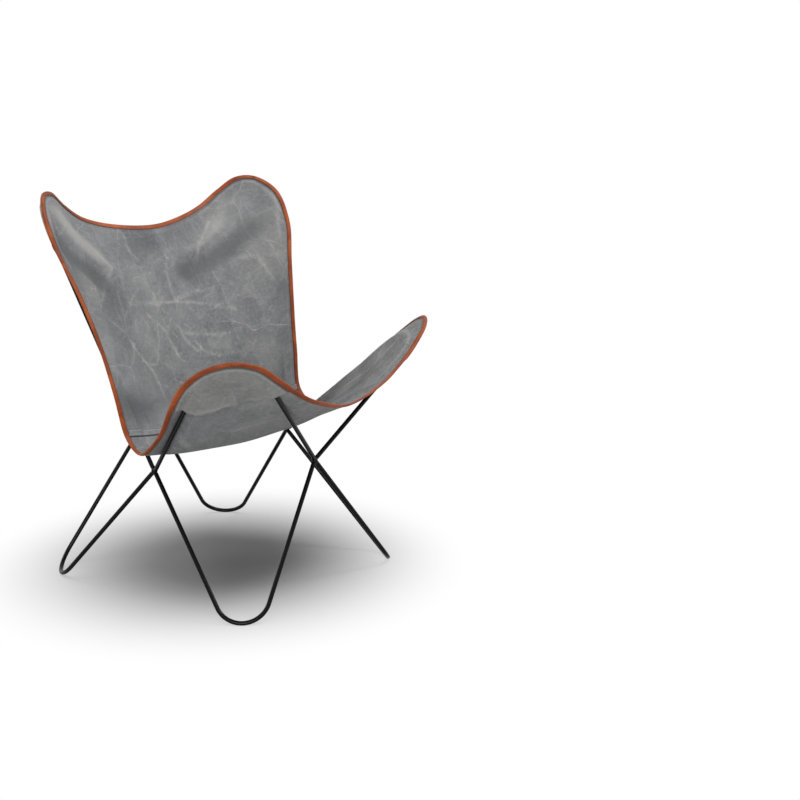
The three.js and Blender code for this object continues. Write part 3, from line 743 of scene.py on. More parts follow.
def line_gap(point, line):
    """How far each point is from a line of points, and that line's own third value there."""
    gap, value = np.full(len(point), np.inf), np.zeros(len(point))
    for start, end in zip(line, line[1:]):
        start, run = np.array(start), np.array(end) - np.array(start)
        share = np.clip((point - start[:2]) @ run[:2] / (run[:2] @ run[:2]), 0, 1)
        own = np.linalg.norm(point - start[:2] - share[:, None] * run[:2], axis=1)
        nearer = own < gap
        gap[nearer] = own[nearer]
        if len(start) > 2:
            value[nearer] = (start[2] + share * run[2])[nearer]
    return gap, value


def rows_height(pattern, rows):
    """The summed height of all these rows at points of the cut."""
    height = np.zeros(len(pattern))
    for line, half_width, tall in rows:
        gap, share = line_gap(pattern[:, :2], line)
        height += tall * share * np.exp(-(gap / half_width) ** 2)
    return height


def crease_share(pattern):
    """1 along each crease, and 0 away from it."""
    nearest = np.min([line_gap(pattern[:, :2], line)[0] for line in crease_rows], axis=0)
    return np.exp(-(nearest / crease_half_width) ** 2)


def fold_height(pattern):
    """The height of folds, creases and a faint ripple over all of the cloth."""
    x, y = pattern[:, 0], pattern[:, 1]
    ripple = math.prod(np.sin(way * turns + start) for way, (turns, start) in zip((x, y), swells))
    for share, across, along, start in ripple_waves:
        ripple = ripple + share * np.sin(x * across + y * along + start)
    return (rows_height(pattern, fold_rows) + crease_share(pattern) * crease_height
            + ripple * ripple_height)


def bowed(pattern):
    """The seam bows a little up the back in the middle, and the cut beside it goes along."""
    rise = seam_rise * np.clip(1 - (pattern[:, 0] / seam_half_span) ** seam_rise_power, 0, 1)
    shift = np.zeros_like(pattern)
    shift[:, 1] = rise * (1 - smooth_step(np.abs(pattern[:, 1]), *seam_shift_span))
    return pattern + shift


def laid(pattern, edge_cut):
    """The finished cloth and its inner side's normals, for points of the cut. The folds die
    out towards the bound edge."""
    bowed_pattern = bowed(pattern)
    here = draped(bowed_pattern, edge_cut)
    over = draped(bowed_pattern + [slope_step, 0, 0], edge_cut) - here
    along = draped(bowed_pattern + [0, slope_step, 0], edge_cut) - here
    normals = unit(np.cross(over, along))
    depth = np.linalg.norm(pattern - edge_cut, axis=1)
    height = fold_height(pattern) * smooth_step(depth, *fold_fade_span)
    return here + normals * height[:, None], normals


def rod_ridge_highlight_share(places):
    """1 where the cloth lies over a rod, and 0 away from it: where a highlight is painted along
    that ridge.
    """
    rod_ridge_highlight = np.zeros(len(places))
    for side, bows in bows_by_side.items():
        for bow in bows:
            out, lift = beside_bow(bow, places)
            beyond = np.linalg.norm(places - bow["centre"], axis=1) - bow["radius"]
            near = (np.exp(-((out - rod_highlight_place) / rod_highlight_half_width) ** 2)
                    * (1 - smooth_step(np.abs(lift), *rod_highlight_lift_span))
                    * (1 - smooth_step(beyond, *rod_highlight_bend_span)))
            rod_ridge_highlight = np.maximum(rod_ridge_highlight, near * (places[:, 0] * side > 0))
    return rod_ridge_highlight


def edge_frames(rows):
    """The cut's edge at these rows, and the way in from it."""
    rows = np.asarray(rows, float)
    along = unit(round_curve(cut_points, rows + edge_step_rows)
                 - round_curve(cut_points, rows - edge_step_rows))
    return round_curve(cut_points, rows), np.stack(
        [along[:, 1], -along[:, 0], along[:, 2]], axis=1)


def rows_from_back(rows):
    """How far round the edge each row is from the middle of the back, on either side."""
    return np.minimum(rows % row_count, -rows % row_count)


def laid_lines(patterns, edge_cut):
    """What laid gives, for lines of cut points that each start at one edge point."""
    lines, rings, _ = patterns.shape
    places, normals = laid(patterns.reshape(-1, 3), np.repeat(edge_cut, rings, axis=0))
    return places.reshape(lines, rings, 3), normals.reshape(lines, rings, 3)


def sheet_solid(name, grid, normals, uv_grid, above, below):
    """A closed sheet on a grid of points, so thick above and below it."""
    lines, rings, _ = grid.shape
    count = lines * rings
    above, below = (np.broadcast_to(side, (lines, rings)) for side in (above, below))
    vertices = np.vstack([
        (grid + normals * above[:, :, None]).reshape(-1, 3),
        (grid - normals * below[:, :, None]).reshape(-1, 3)])
    index = np.arange(count).reshape(lines, rings)
    a, b = index[:-1, :-1].ravel(), index[:-1, 1:].ravel()
    c, d = index[1:, 1:].ravel(), index[1:, :-1].ravel()
    top = np.stack([a, b, c, d], axis=1)
    rim = np.concatenate([index[0, ::-1], index[1:, 0], index[-1, 1:], index[-2:0:-1, -1]])
    after = np.roll(rim, -1)
    wall = np.stack([rim, after, after + count, rim + count], axis=1)
    faces = np.vstack([top, top[:, ::-1] + count, wall])
    turned = np.cross(grid[1:, :-1] - grid[:-1, :-1], grid[:-1, 1:] - grid[:-1, :-1])
    if (turned * normals[:-1, :-1]).sum() > 0:
        faces = faces[:, ::-1]
    uv = np.vstack([uv_grid.reshape(-1, 2)] * 2)
    return mesh_object(name, placed(vertices), faces, uv[faces.ravel()])


pole_gap, pole_edge = 0.00002, 0.00001


def merge_close(piece):
    """Closes the pole of a grid whose lines all end in one point."""
    shell = bmesh.new()
    shell.from_mesh(piece.data)
    bmesh.ops.remove_doubles(shell, verts=shell.verts, dist=pole_gap)
    bmesh.ops.dissolve_degenerate(shell, edges=shell.edges, dist=pole_edge)
    shell.to_mesh(piece.data)
    shell.free()


# Canvas panels
# Two pieces of heavy cotton canvas, waxed and washed to a mottled grey: one for the seat and
# one for the back, joined in the crook. Bends and knocks have left pale lines in the wax.
canvas = Finish("waxed_canvas")
cut_uv = canvas.node("ShaderNodeUVMap", {"uv_map": "surface"}).outputs[0]
split = canvas.node("ShaderNodeSeparateXYZ", None, [cut_uv])
warp, weft = Tone(canvas, split.outputs[0]), Tone(canvas, split.outputs[1])
thread_pitch = 0.0011
weave = (warp * (math.pi / thread_pitch)).sine() * (weft * (math.pi / thread_pitch)).sine()
slub = canvas.noise(cut_uv, scale=260.0, detail=4.0, roughness=0.7)
cloud = canvas.noise(cut_uv, scale=5.0, detail=6.0, roughness=0.66, distortion=0.5)
hue_cloud = canvas.noise(cut_uv, scale=4.0, detail=3.0, roughness=0.6)
stain = canvas.noise(cut_uv, scale=16.0, detail=6.0, roughness=0.68, distortion=0.8)
speck = canvas.noise(cut_uv, scale=120.0, detail=4.0, roughness=0.75)
painted_fold_shade, rod_ridge_highlight, sharp, depth, rim, pocket = (Tone(canvas, canvas.node(
    "ShaderNodeAttribute", {"attribute_name": name}).outputs["Fac"])
    for name in ("painted_fold_shade", "rod_ridge_highlight", "crease", "depth", "rim", "pocket"))
sway_scale_share, sway_detail = 0.8, 2.5
gaps_scale_share = 0.9
halo_widths, halo_share = 6, 0.22
sideways_seed_share = 0.7


def crumple(scale, width, bend, seed, shown, stretch=(1, 1)):
    """A broken net of creases, the tones of the patches between them, and the way to them."""
    place = canvas.node("ShaderNodeMapping", None, {
        "Vector": cut_uv, "Location": (seed, seed * sideways_seed_share, 0),
        "Rotation": (0, 0, seed), "Scale": (*stretch, 1)}).outputs[0]
    sway = canvas.node("ShaderNodeTexNoise", None, {
        "Vector": place, "Scale": scale * sway_scale_share, "Detail": sway_detail})
    centred = canvas.node("ShaderNodeVectorMath", {"operation": "SUBTRACT"},
                          [sway.outputs["Color"], (0.5, 0.5, 0.5)])
    pushed = canvas.node("ShaderNodeVectorMath", {"operation": "MULTIPLY_ADD"},
                         [centred.outputs[0], (bend / scale,) * 3, place]).outputs[0]
    net, patches = (canvas.node("ShaderNodeTexVoronoi", {
        "feature": feature, "voronoi_dimensions": "2D"}, {"Vector": pushed, "Scale": scale})
        for feature in ("DISTANCE_TO_EDGE", "F1"))
    gap = Tone(canvas, net.outputs["Distance"])
    line = 1 - gap.between(0, width) + halo_share * (1 - gap.between(0, width * halo_widths))
    whole = canvas.noise(place, scale * gaps_scale_share).between(*shown)
    patch = canvas.node("ShaderNodeSeparateXYZ", None, [patches.outputs["Color"]])
    return line * whole, Tone(canvas, patch.outputs[0]), gap


def grain_streaks(stretch):
    """Thin lines along one way of the weave, where single threads stand out."""
    place = canvas.node("ShaderNodeMapping", None, {"Vector": cut_uv, "Scale": (*stretch, 1)})
    return canvas.noise(place.outputs[0], scale=1.0, detail=2.0, roughness=0.6)


long_line, long_patch, long_gap = crumple(
    scale=5.2, width=0.009, bend=0.9, seed=1.7, shown=(0.44, 0.56))
mid_line, mid_patch, mid_gap = crumple(
    scale=10.0, width=0.015, bend=0.8, seed=4.1, shown=(0.47, 0.57), stretch=(1.5, 0.7))
short_line, short_patch, _ = crumple(
    scale=21.0, width=0.026, bend=0.7, seed=2.3, shown=(0.50, 0.60), stretch=(0.8, 1.3))
broken = canvas.noise(cut_uv, scale=30.0, detail=5.0, roughness=0.7).between(0.30, 0.66)
creases = (long_line + 0.9 * mid_line + 0.8 * short_line + 0.9 * sharp) * (0.2 + broken)
streaks = grain_streaks(stretch=(12, 420)) + grain_streaks(stretch=(460, 14))


def band(value, rise, fall):
    """1 where a value lies in a band, and 0 on both sides of it."""
    return value.between(*rise) * (1 - value.between(*fall))


def line_at(place, half_width, fade_end):
    """1 on a line across the sling at one height of the cut, and 0 beside it."""
    return 1 - (weft - place).magnitude().between(half_width, fade_end)


# A painted shadow under the binding's edge, and a painted highlight a little further in.
binding_edge_painted_shadow = band(depth, rise=(0.0096, 0.0106), fall=(0.0138, 0.0175))
binding_edge_painted_highlight = band(depth, rise=(0.0175, 0.0200), fall=(0.0215, 0.0250))
# A painted shadow along the seam, where the fell's lower edge steps down.
seam_painted_shadow = line_at(-0.0018, half_width=0.0007, fade_end=0.0025)
# A painted shadow just past the fell's upper edge, and a painted highlight on that edge.
fell_edge_painted_shadow = line_at(0.0142, half_width=0.0002, fade_end=0.0018)
fell_edge_painted_highlight = line_at(0.0118, half_width=0.0004, fade_end=0.0022)
canvas_tone = canvas.blend(cloud.between(0.33, 0.68), srgb(91, 92, 96), srgb(131, 132, 133))
# What lies over the cloth's own tone, from below upwards: how much of it, and its colour.
for share, colour in (
        # A warmer tint on the pockets, partly painted light that lifts their shaded outer face.
        (pocket * 0.50, (136, 136, 127)),
        (hue_cloud.between(0.52, 0.66) * 0.45, (118, 121, 131)),
        (hue_cloud.between(0.46, 0.34) * 0.45, (127, 128, 120)),
        (stain.between(0.50, 0.68) * 0.62, (150, 150, 148)),
        (stain.between(0.50, 0.34) * 0.58, (95, 96, 100)),
        (long_patch * 0.34, (97, 98, 102)),
        (mid_patch * 0.28, (150, 150, 149)),
        (short_patch * 0.18, (100, 101, 104)),
        ((speck - 0.44) * 1.3, (158, 158, 156)),
        ((streaks - 0.98) * 0.5, (160, 161, 163)),
        (creases * 0.40, (184, 183, 178)),
        # Painted highlight on the folds' ridges, and painted shade in their hollows and over the
        # painted-shade rows.
        (painted_fold_shade.between(0.05, 1.0) * 0.62, (176, 175, 171)),
        (painted_fold_shade.between(-0.05, -1.0) * 0.72, (80, 81, 85)),
        # A painted highlight along the ridge where the cloth lies over a rod.
        (rod_ridge_highlight * 0.36, (172, 172, 168)),
        # Painted highlight and painted shadow beside the binding's edge.
        (binding_edge_painted_highlight * rim * 0.26, (176, 176, 172)),
        (binding_edge_painted_shadow * rim * 0.85, (58, 59, 62)),
        # Painted highlight and painted shadow at the fell's upper edge.
        (fell_edge_painted_highlight * 0.30, (176, 176, 172)),
        (fell_edge_painted_shadow * 0.45, (62, 63, 67)),
        # The painted shadow along the seam.
        (seam_painted_shadow * 0.90, (34, 35, 38))):
    canvas_tone = canvas.blend(share, canvas_tone, srgb(*colour))
canvas_relief = None
for height, distance, strength in (
        (long_gap.between(0.0, 0.30), -0.0030, 0.9),
        (mid_gap.between(0.0, 0.35), -0.0014, 0.8),
        (creases, 0.0009, 0.7),
        (stain, 0.0060, 0.5),
        (slub, 0.0008, 0.35),
        (weave, 0.00025, 0.6)):
    canvas_relief = canvas.relief(height, distance, strength, canvas_relief)
canvas.shade(
    base_color=canvas_tone,
    roughness=0.76 - 0.12 * cloud + 0.06 * creases,
    sheen_weight=0.08,
    sheen_roughness=0.5,
    specular_ior_level=0.25,
    normal=canvas_relief,
)

lines_per_row = 12
under_binding = (0.0024, 0.0045, 0.0067, 0.0088, binding_width)
ring_count = 96
ring_spread_share = 1.45
ring_shares = (np.arange(1, ring_count + 1) / ring_count) ** ring_spread_share
seam_gap = 0.0006
seam_fell_width = 0.0135
highest_fold = 0.0085
painted_fold_shade_span = (0.002, 0.014)
peak_rows, peak_rows_edge = (2.6, 6.0), 1.0
plain_binding_edge_shading, added_peak_binding_edge_shading = 0.20, 0.45


def edge_stations(first_row, last_row):
    return np.linspace(first_row, last_row, round((last_row - first_row) * lines_per_row) + 1)


def panel_grid(first_row, last_row, seam_side):
    """A panel's points: lines from each place on its edge to the middle of the seam."""
    rows = edge_stations(first_row, last_row)
    cut, inward = edge_frames(rows)
    insets = [cut + inward * inset for inset in under_binding]
    middle = np.tile([0.0, seam_side * seam_fell_width, 0.0], (len(rows), 1))
    for end in (0, -1):
        middle[end, 1] = seam_side * seam_gap / 2
        for ring in insets:
            ring[end, 1] = seam_side * seam_gap / 2
    rings = insets + [insets[-1] + (middle - insets[-1]) * share for share in ring_shares]
    patterns = np.stack(rings, axis=1)
    return patterns, *laid_lines(patterns, cut), cut


def mark(piece, name, values):
    """One value for each vertex of a sheet, the same above and below."""
    layer = piece.data.attributes.new(name, "FLOAT", "POINT")
    layer.data.foreach_set("value", np.tile(values.ravel(), 2))


def dress(piece, node, finish):
    """What every piece of the sling needs: a finish, its node and its body."""
    piece.data.materials.append(finish.material)
    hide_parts(node)
    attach(piece, "root")
    return piece


def cloth_area(grid):
    """The area of one layer of the cloth, from the diagonals of its small faces."""
    one, other = grid[1:, 1:] - grid[:-1, :-1], grid[1:, :-1] - grid[:-1, 1:]
    return float(np.linalg.norm(np.cross(one, other), axis=2).sum() / 2)


def flat_cut(patterns, grid):
    """The width, length and area of a flat piece: its cut, let out to the hung cloth's area."""
    outline = np.concatenate([patterns[:, 0, :2], patterns[[-1, 0], -1, :2]])
    after = np.roll(outline, -1, axis=0)
    cut_area = abs((outline[:, 0] * after[:, 1] - outline[:, 1] * after[:, 0]).sum()) / 2
    area = cloth_area(grid)
    let_out = math.sqrt(area / cut_area)
    return tuple(float(v) * let_out for v in np.ptp(outline, axis=0)), area


panels, panel_cuts = {}, {}
for name, first_row, last_row, seam_side in (
        ("seat", seam_row, row_count - seam_row, -1),
        ("back", row_count - seam_row, row_count + seam_row, 1)):
    patterns, grid, normals, cut = panel_grid(first_row, last_row, seam_side)
    piece = sheet_solid(f"canvas_{name}", grid, normals, patterns[:, :, :2],
                        canvas_thickness / 2, canvas_thickness / 2)
    depths = np.linalg.norm(patterns - cut[:, None], axis=2)
    cloth = patterns.reshape(-1, 3)
    # Painted light and shade for the canvas: the folds' heights and the painted-shade rows, faded
    # out near the bound edge.
    heights = (fold_height(cloth) + rows_height(cloth, painted_shade_rows)) * smooth_step(
        depths.ravel(), *painted_fold_shade_span)
    mark(piece, "painted_fold_shade", heights / highest_fold)
    # Where a highlight is painted along the cloth's ridge over a rod.
    mark(piece, "rod_ridge_highlight", rod_ridge_highlight_share(grid.reshape(-1, 3)))
    mark(piece, "crease", crease_share(cloth))
    mark(piece, "depth", depths)
    peak = soft_window(
        rows_from_back(edge_stations(first_row, last_row)), *peak_rows, peak_rows_edge)
    # How strong the painted shadow and highlight beside the binding are: stronger near the peaks.
    mark(piece, "rim", np.broadcast_to(
        (plain_binding_edge_shading + added_peak_binding_edge_shading * peak)[:, None], depths.shape))
    merge_close(piece)
    panels[name] = dress(piece, f"{name}_panel", canvas)
    panel_cuts[name] = flat_cut(patterns, grid)

# Seam
# The two panels meet in the crook, where the edge of the back is folded under and sewn down
# flat over the edge of the seat, a strip as wide as a finger's nail with two rows of stitches.
fell_lines = 160
fell_rings = 7
fell_overlap = 0.0024
fell_lift = canvas_thickness + 0.0002
fell_end_gap = 0.0004
seam_half_width = seam_half_span - binding_width - fell_end_gap


def across_seam(cut_y, lift):
    """Points across the sling at one height on the cut, lifted off the canvas."""
    x = np.linspace(-seam_half_width, seam_half_width, fell_lines)
    pattern = np.stack([x, np.full(fell_lines, cut_y), np.zeros(fell_lines)], axis=1)
    edge_cut, _ = edge_frames([row_count - seam_row, seam_row])
    places, normals = laid(pattern, edge_cut[(x > 0).astype(int)])
    return pattern, places + normals * lift, normals


rings = [across_seam(y, fell_lift)
         for y in np.linspace(-fell_overlap, seam_fell_width, fell_rings)]
patterns, grid, normals = (np.stack(part, axis=1) for part in zip(*rings))
fell = sheet_solid("canvas_fell", grid, normals, patterns[:, :, :2],
                   canvas_thickness / 2, canvas_thickness / 2)
dress(fell, "seam_fell", canvas)

# Pockets
# Behind each peak a second layer of the same canvas is caught in the edge. The rod's bend
# lies between the two, and the pocket's straight hem runs across both arms of the rod.
back_pocket_rows = (2.5, 7)
front_pocket_rows = (15, 20.5)
hem_end_inset = 0.020
hem_dip = 0.006
hem_width = 0.012
hem_step = 0.0009
hem_turn_width = 0.0008
hem_start_span = (0.014, 0.018)
slump_place = 0.24
slump_half_width = 0.20
slump_span, slump_span_edge = (0.09, 0.92), 0.06
slump_inward_share = 0.5
back_hem_slack, front_hem_slack = 0.003, 0.013
slack_height = 0.0016
slack_waves = ((1, 17, 5), (0.7, 31, -9))
slack_start_span = (0.004, 0.02)
cloth_gap = 0.0002
pocket_depth_steps = 34
straight_down = np.array([0, 0, -1])
pocket_cloth_place = np.array([1.3, 2.1])
pocket_cloth_step = 1.8


def in_plane(bow, points):
    """The points, moved into the plane of the bow."""
    return points + ((bow["centre"] - points) @ bow["normal"])[:, None] * bow["normal"]


def pocket_grid(bow, rows_span, slack_hem):
    """A pocket's points: lines from the edge, round the outside of the rod, to the hem."""
    rows = edge_stations(*rows_span)
    cut, inward = edge_frames(rows)
    patterns = np.stack([cut + inward * inset for inset in under_binding], axis=1)
    under, normals = laid_lines(patterns, cut)
    under = under - normals * layer_pitch
    ends, _ = laid(cut[[0, -1]] + inward[[0, -1]] * hem_end_inset, cut[[0, -1]])
    first_end, last_end = in_plane(bow, ends)
    start = in_plane(bow, under[:, -1])
    edge_out, edge_lift = beside_bow(bow, under[:, -1])
    across = np.linspace(0, 1, len(rows))[:, None]
    slump = slack_hem * np.exp(-((across - slump_place) / slump_half_width) ** 2) * (
        soft_window(across, *slump_span, slump_span_edge))
    hem = (first_end + (last_end - first_end) * across
           - bow["axis"] * (hem_dip * np.sin(math.pi * across) + slump * slump_inward_share))
    rings = [under]
    for share in np.linspace(0, 1, pocket_depth_steps + 1)[1:]:
        place = start + (hem - start) * share
        out = np.minimum(beside_bow(bow, place)[0], edge_out)
        line, over_rod, touch_out = taut_line(out, edge_out, -edge_lift)
        drop = np.where(out > np.maximum(touch_out, 0), line,
                        np.where(out > 0, np.maximum(over_rod, 0), rod_clearance))
        waves = sum(tall * np.sin(across[:, 0] * over + share * down)
                    for tall, over, down in slack_waves)
        slack = np.where(out < 0, slack_height * np.sin(math.pi * across[:, 0]) * waves
                         * smooth_step(-out, *slack_start_span), 0)
        ring = (place - bow["normal"] * (drop + slack + cloth_gap)[:, None]
                + straight_down * slump * share ** 3)
        rings.append(ring[:, None])
    return np.concatenate(rings, axis=1)


def grid_normals(grid, toward):
    """A grid's normals, on the side that these ways point to."""
    over, down = np.gradient(grid, axis=1), np.gradient(grid, axis=0)
    normals = unit(np.cross(over, down))
    return normals * np.sign((normals * toward).sum())


def pocket_flat(grid, bow):
    """The pocket's points in the plane of its bow, across it and along it."""
    from_centre = grid - bow["centre"]
    return np.stack([from_centre @ bow["side"], from_centre @ bow["axis"]], axis=2)


pockets, pocket_grids = {}, {}
for name, bow, rows_span, slack_hem in (
        ("back", back_bow, back_pocket_rows, back_hem_slack),
        ("front", front_bow, front_pocket_rows, front_hem_slack)):
    grid = pocket_grid(bow, rows_span, slack_hem)
    from_edge = np.linalg.norm(grid - grid[:, :1], axis=2)
    to_hem = np.linalg.norm(grid - grid[:, -1:], axis=2)
    folded = (1 - smooth_step(to_hem, hem_width - hem_turn_width, hem_width)) * (
        smooth_step(from_edge, *hem_start_span))
    pocket_uv = pocket_flat(grid, bow)
    for side, turned in (("left", np.ones(3)), ("right", other_side)):
        side_grid = grid * turned
        normals = grid_normals(side_grid, bow["normal"] * turned)
        piece = sheet_solid(
            f"canvas_pocket_{name}_{side}", side_grid, normals,
            pocket_uv + pocket_cloth_place + [len(pockets) * pocket_cloth_step, 0],
            canvas_thickness / 2, canvas_thickness / 2 + folded * hem_step)
        mark(piece, "depth", from_edge + under_binding[0])
        # The painted shadow and highlight beside the binding at full strength on the pockets.
        mark(piece, "rim", np.ones(grid.shape[:2]))
        # Marks the pocket for its warmer tint and the painted light on its shaded face.
        mark(piece, "pocket", np.ones(grid.shape[:2]))
        pockets[name, side] = dress(piece, f"pocket_{name}_{side}", canvas)
        pocket_grids[name, side] = (side_grid, normals, to_hem)

# Leather binding
# Strips of tan leather, some 11 mm wide on each face, are folded over the canvas's edge and
# sewn through near their inner edges. Four of them meet end to end at the peaks.
leather = Finish("tan_leather")
strip_uv = leather.node("ShaderNodeUVMap", {"uv_map": "surface"}).outputs[0]
leather_darkening = Tone(leather, leather.node(
    "ShaderNodeAttribute", {"attribute_name": "leather_darkening"}).outputs["Fac"])
hide_cloud = leather.noise(strip_uv, scale=14.0, detail=5.0, roughness=0.65, distortion=0.5)
hide_patch = leather.noise(strip_uv, scale=4.5, detail=3.0, roughness=0.6)
hide_grain = leather.noise(strip_uv, scale=1100.0, detail=3.0, roughness=0.6)
hide_pore = leather.node("ShaderNodeTexVoronoi", {"voronoi_dimensions": "2D"},
                         {"Vector": strip_uv, "Scale": 900.0})
pores = Tone(leather, hide_pore.outputs["Distance"]).between(0.0, 0.5)
hide_tone = leather.blend(hide_cloud.between(0.35, 0.68), srgb(126, 55, 19), srgb(168, 83, 36))
for share, colour in (
        (hide_patch.between(0.48, 0.64) * 0.65, (106, 46, 18)),
        # Darker along both edges of each strip, a burnished edge with painted shade of the gap
        # beside it, and darker towards the strip ends, most at the back peak.
        (leather_darkening * 0.75, (84, 34, 14))):
    hide_tone = leather.blend(share, hide_tone, srgb(*colour))
leather.shade(
    base_color=hide_tone,
    roughness=0.44 + 0.14 * hide_grain,
    specular_ior_level=0.22,
    normal=leather.relief(
        hide_grain, distance=0.0003, strength=0.5,
        normal=leather.relief(pores, distance=0.0002, strength=0.4)),
)
nose_steps = 8
pocket_rows_edge = 0.12
binding_end_gap_rows = 0.004
edge_darkening_span = (0.0003, 0.0022)
end_darkening_span = (0.002, 0.007)
back_end_darkening, front_end_darkening = 0.9, 0.15
hide_place_per_row = 0.31
binding_spans = {
    "back": (row_count - back_apex_row, row_count + back_apex_row),
    "left": (back_apex_row, front_apex_row),
    "front": (front_apex_row, row_count - front_apex_row),
    "right": (row_count - front_apex_row, row_count - back_apex_row),
}


def pocket_layer(rows):
    """The height that a pocket's layer of canvas adds to the edge at these rows."""
    own = rows_from_back(rows)
    return layer_pitch * sum(soft_window(own, *span, pocket_rows_edge)
                             for span in (back_pocket_rows, front_pocket_rows))[:, None]


def binding_grid(rows):
    """A binding's points: sections from its inner face, round the edge, to its outer face."""
    cut, inward = edge_frames(rows)
    patterns = np.stack([cut + inward * inset for inset in under_binding], axis=1)
    places, normals = laid_lines(patterns, cut)
    extra = pocket_layer(rows)
    leather_lift = canvas_thickness / 2 + layer_gap / 2 + leather_thickness / 2
    edge, edge_normal = places[:, 0], normals[:, 0]
    outward = unit(edge - places[:, 1])
    centre = edge - edge_normal * extra / 2
    nose_height = leather_lift + extra / 2
    nose_reach = under_binding[0] - leather_thickness / 2
    inner = places + normals * leather_lift
    outer = places - normals * (leather_lift + extra)[:, None]
    nose = [centre + edge_normal * nose_height * math.sin(turn)
            + outward * nose_reach * math.cos(turn)
            for turn in np.linspace(math.pi / 2, -math.pi / 2, nose_steps + 1)]
    return np.concatenate(
        [inner[:, :0:-1], np.stack(nose, axis=1), outer[:, 1:]], axis=1), edge


for name, span in binding_spans.items():
    rows = edge_stations(*span)
    rows[[0, -1]] += [binding_end_gap_rows, -binding_end_gap_rows]
    grid, edge = binding_grid(rows)
    inner_middle = (grid[:, 2] + grid[:, -3]) / 2
    normals = grid_normals(grid, grid - inner_middle[:, None])
    across = np.cumsum(np.linalg.norm(np.diff(grid, axis=1, prepend=grid[:, :1]), axis=2), axis=1)
    along = np.cumsum(np.linalg.norm(np.diff(edge, axis=0, prepend=edge[:1]), axis=1))[:, None]
    uv = np.stack(np.broadcast_arrays(along, across), axis=2)
    piece = sheet_solid(
        f"binding_{name}_strip", grid, normals, uv + [span[0] * hide_place_per_row, 0],
        leather_thickness / 2, leather_thickness / 2)
    from_tip = np.minimum(across, across[:, -1:] - across)
    from_end = np.minimum(along, along[-1] - along)
    end_darkening = np.where(rows_from_back(rows) < seam_row, back_end_darkening, front_end_darkening)[:, None]
    # Darker at the strip's edges, burnished and with painted shade, and towards its ends.
    mark(piece, "leather_darkening", np.maximum(
        1 - smooth_step(from_tip, *edge_darkening_span),
        (1 - smooth_step(from_end, *end_darkening_span)) * end_darkening))
    dress(piece, f"binding_{name}", leather)

# Stitches
# Every seam is sewn with waxed thread, in stitches some 3 mm long with a small gap between
# them: brown along the bindings on both faces, and grey on the seam and the pockets' hems.
stitch_pitch = 0.0036
stitch_length = 0.0027
thread_radius = 0.00042
stitch_segments, stitch_rings = 6, 4
stitch_lean = (0.07, 0.07, 3.0)
stitch_seed = 5


def stitch_tree():
    """The nodes that sew: one short grain of thread at each step along a row."""
    tree = bpy.data.node_groups.new("stitch_row", "GeometryNodeTree")
    sockets = {}
    for label, kind in (("Row", "NodeSocketGeometry"), ("Pitch", "NodeSocketFloat"),
                        ("Length", "NodeSocketFloat"), ("Radius", "NodeSocketFloat"),
                        ("Seed", "NodeSocketInt"), ("Thread", "NodeSocketMaterial")):
        sockets[label] = tree.interface.new_socket(label, in_out="INPUT", socket_type=kind)
    tree.interface.new_socket("Stitches", in_out="OUTPUT", socket_type="NodeSocketGeometry")

    def add(kind, inputs=None, settings=None):
        node = tree.nodes.new(kind)
        for key, value in (settings or {}).items():
            setattr(node, key, value)
        for key, value in (inputs or {}).items():
            if isinstance(value, bpy.types.NodeSocket):
                tree.links.new(value, node.inputs[key])
            else:
                node.inputs[key].default_value = value
        return node

    given = add("NodeGroupInput").outputs
    curve = add("GeometryNodeMeshToCurve", {0: given["Row"]})
    points = add("GeometryNodeCurveToPoints",
                 {"Curve": curve.outputs[0], "Length": given["Pitch"]}, {"mode": "LENGTH"})
    size = add("ShaderNodeCombineXYZ",
               {0: given["Radius"], 1: given["Radius"], 2: given["Length"]})
    ball = add("GeometryNodeMeshUVSphere",
               {"Segments": stitch_segments, "Rings": stitch_rings, "Radius": 1.0})
    grain = add("GeometryNodeTransform", {"Geometry": ball.outputs[0], "Scale": size.outputs[0]})
    lean = add("FunctionNodeRandomValue", {
        0: (-stitch_lean[0], -stitch_lean[1], 0.0), 1: stitch_lean, "Seed": given["Seed"]},
        {"data_type": "FLOAT_VECTOR"})
    turned = add("FunctionNodeRotateRotation", {
        "Rotation": points.outputs["Rotation"], "Rotate By": lean.outputs[0]},
        {"rotation_space": "LOCAL"})
    placed_on = add("GeometryNodeInstanceOnPoints", {
        "Points": points.outputs["Points"], "Instance": grain.outputs[0],
        "Rotation": turned.outputs[0]})
    real = add("GeometryNodeRealizeInstances", {0: placed_on.outputs[0]})
    dyed = add("GeometryNodeSetMaterial",
               {"Geometry": real.outputs[0], "Material": given["Thread"]})
    add("NodeGroupOutput", {0: dyed.outputs[0]})
    return tree, {label: socket.identifier for label, socket in sockets.items()}


stitching, stitching_inputs = stitch_tree()


def thread_finish(name, colour):
    finish = Finish(name)
    finish.shade(base_color=(*colour, 1), roughness=0.7, specular_ior_level=0.3)
    return finish


brown_thread = thread_finish("brown_thread", srgb(122, 58, 32))
grey_thread = thread_finish("grey_thread", srgb(146, 147, 145))


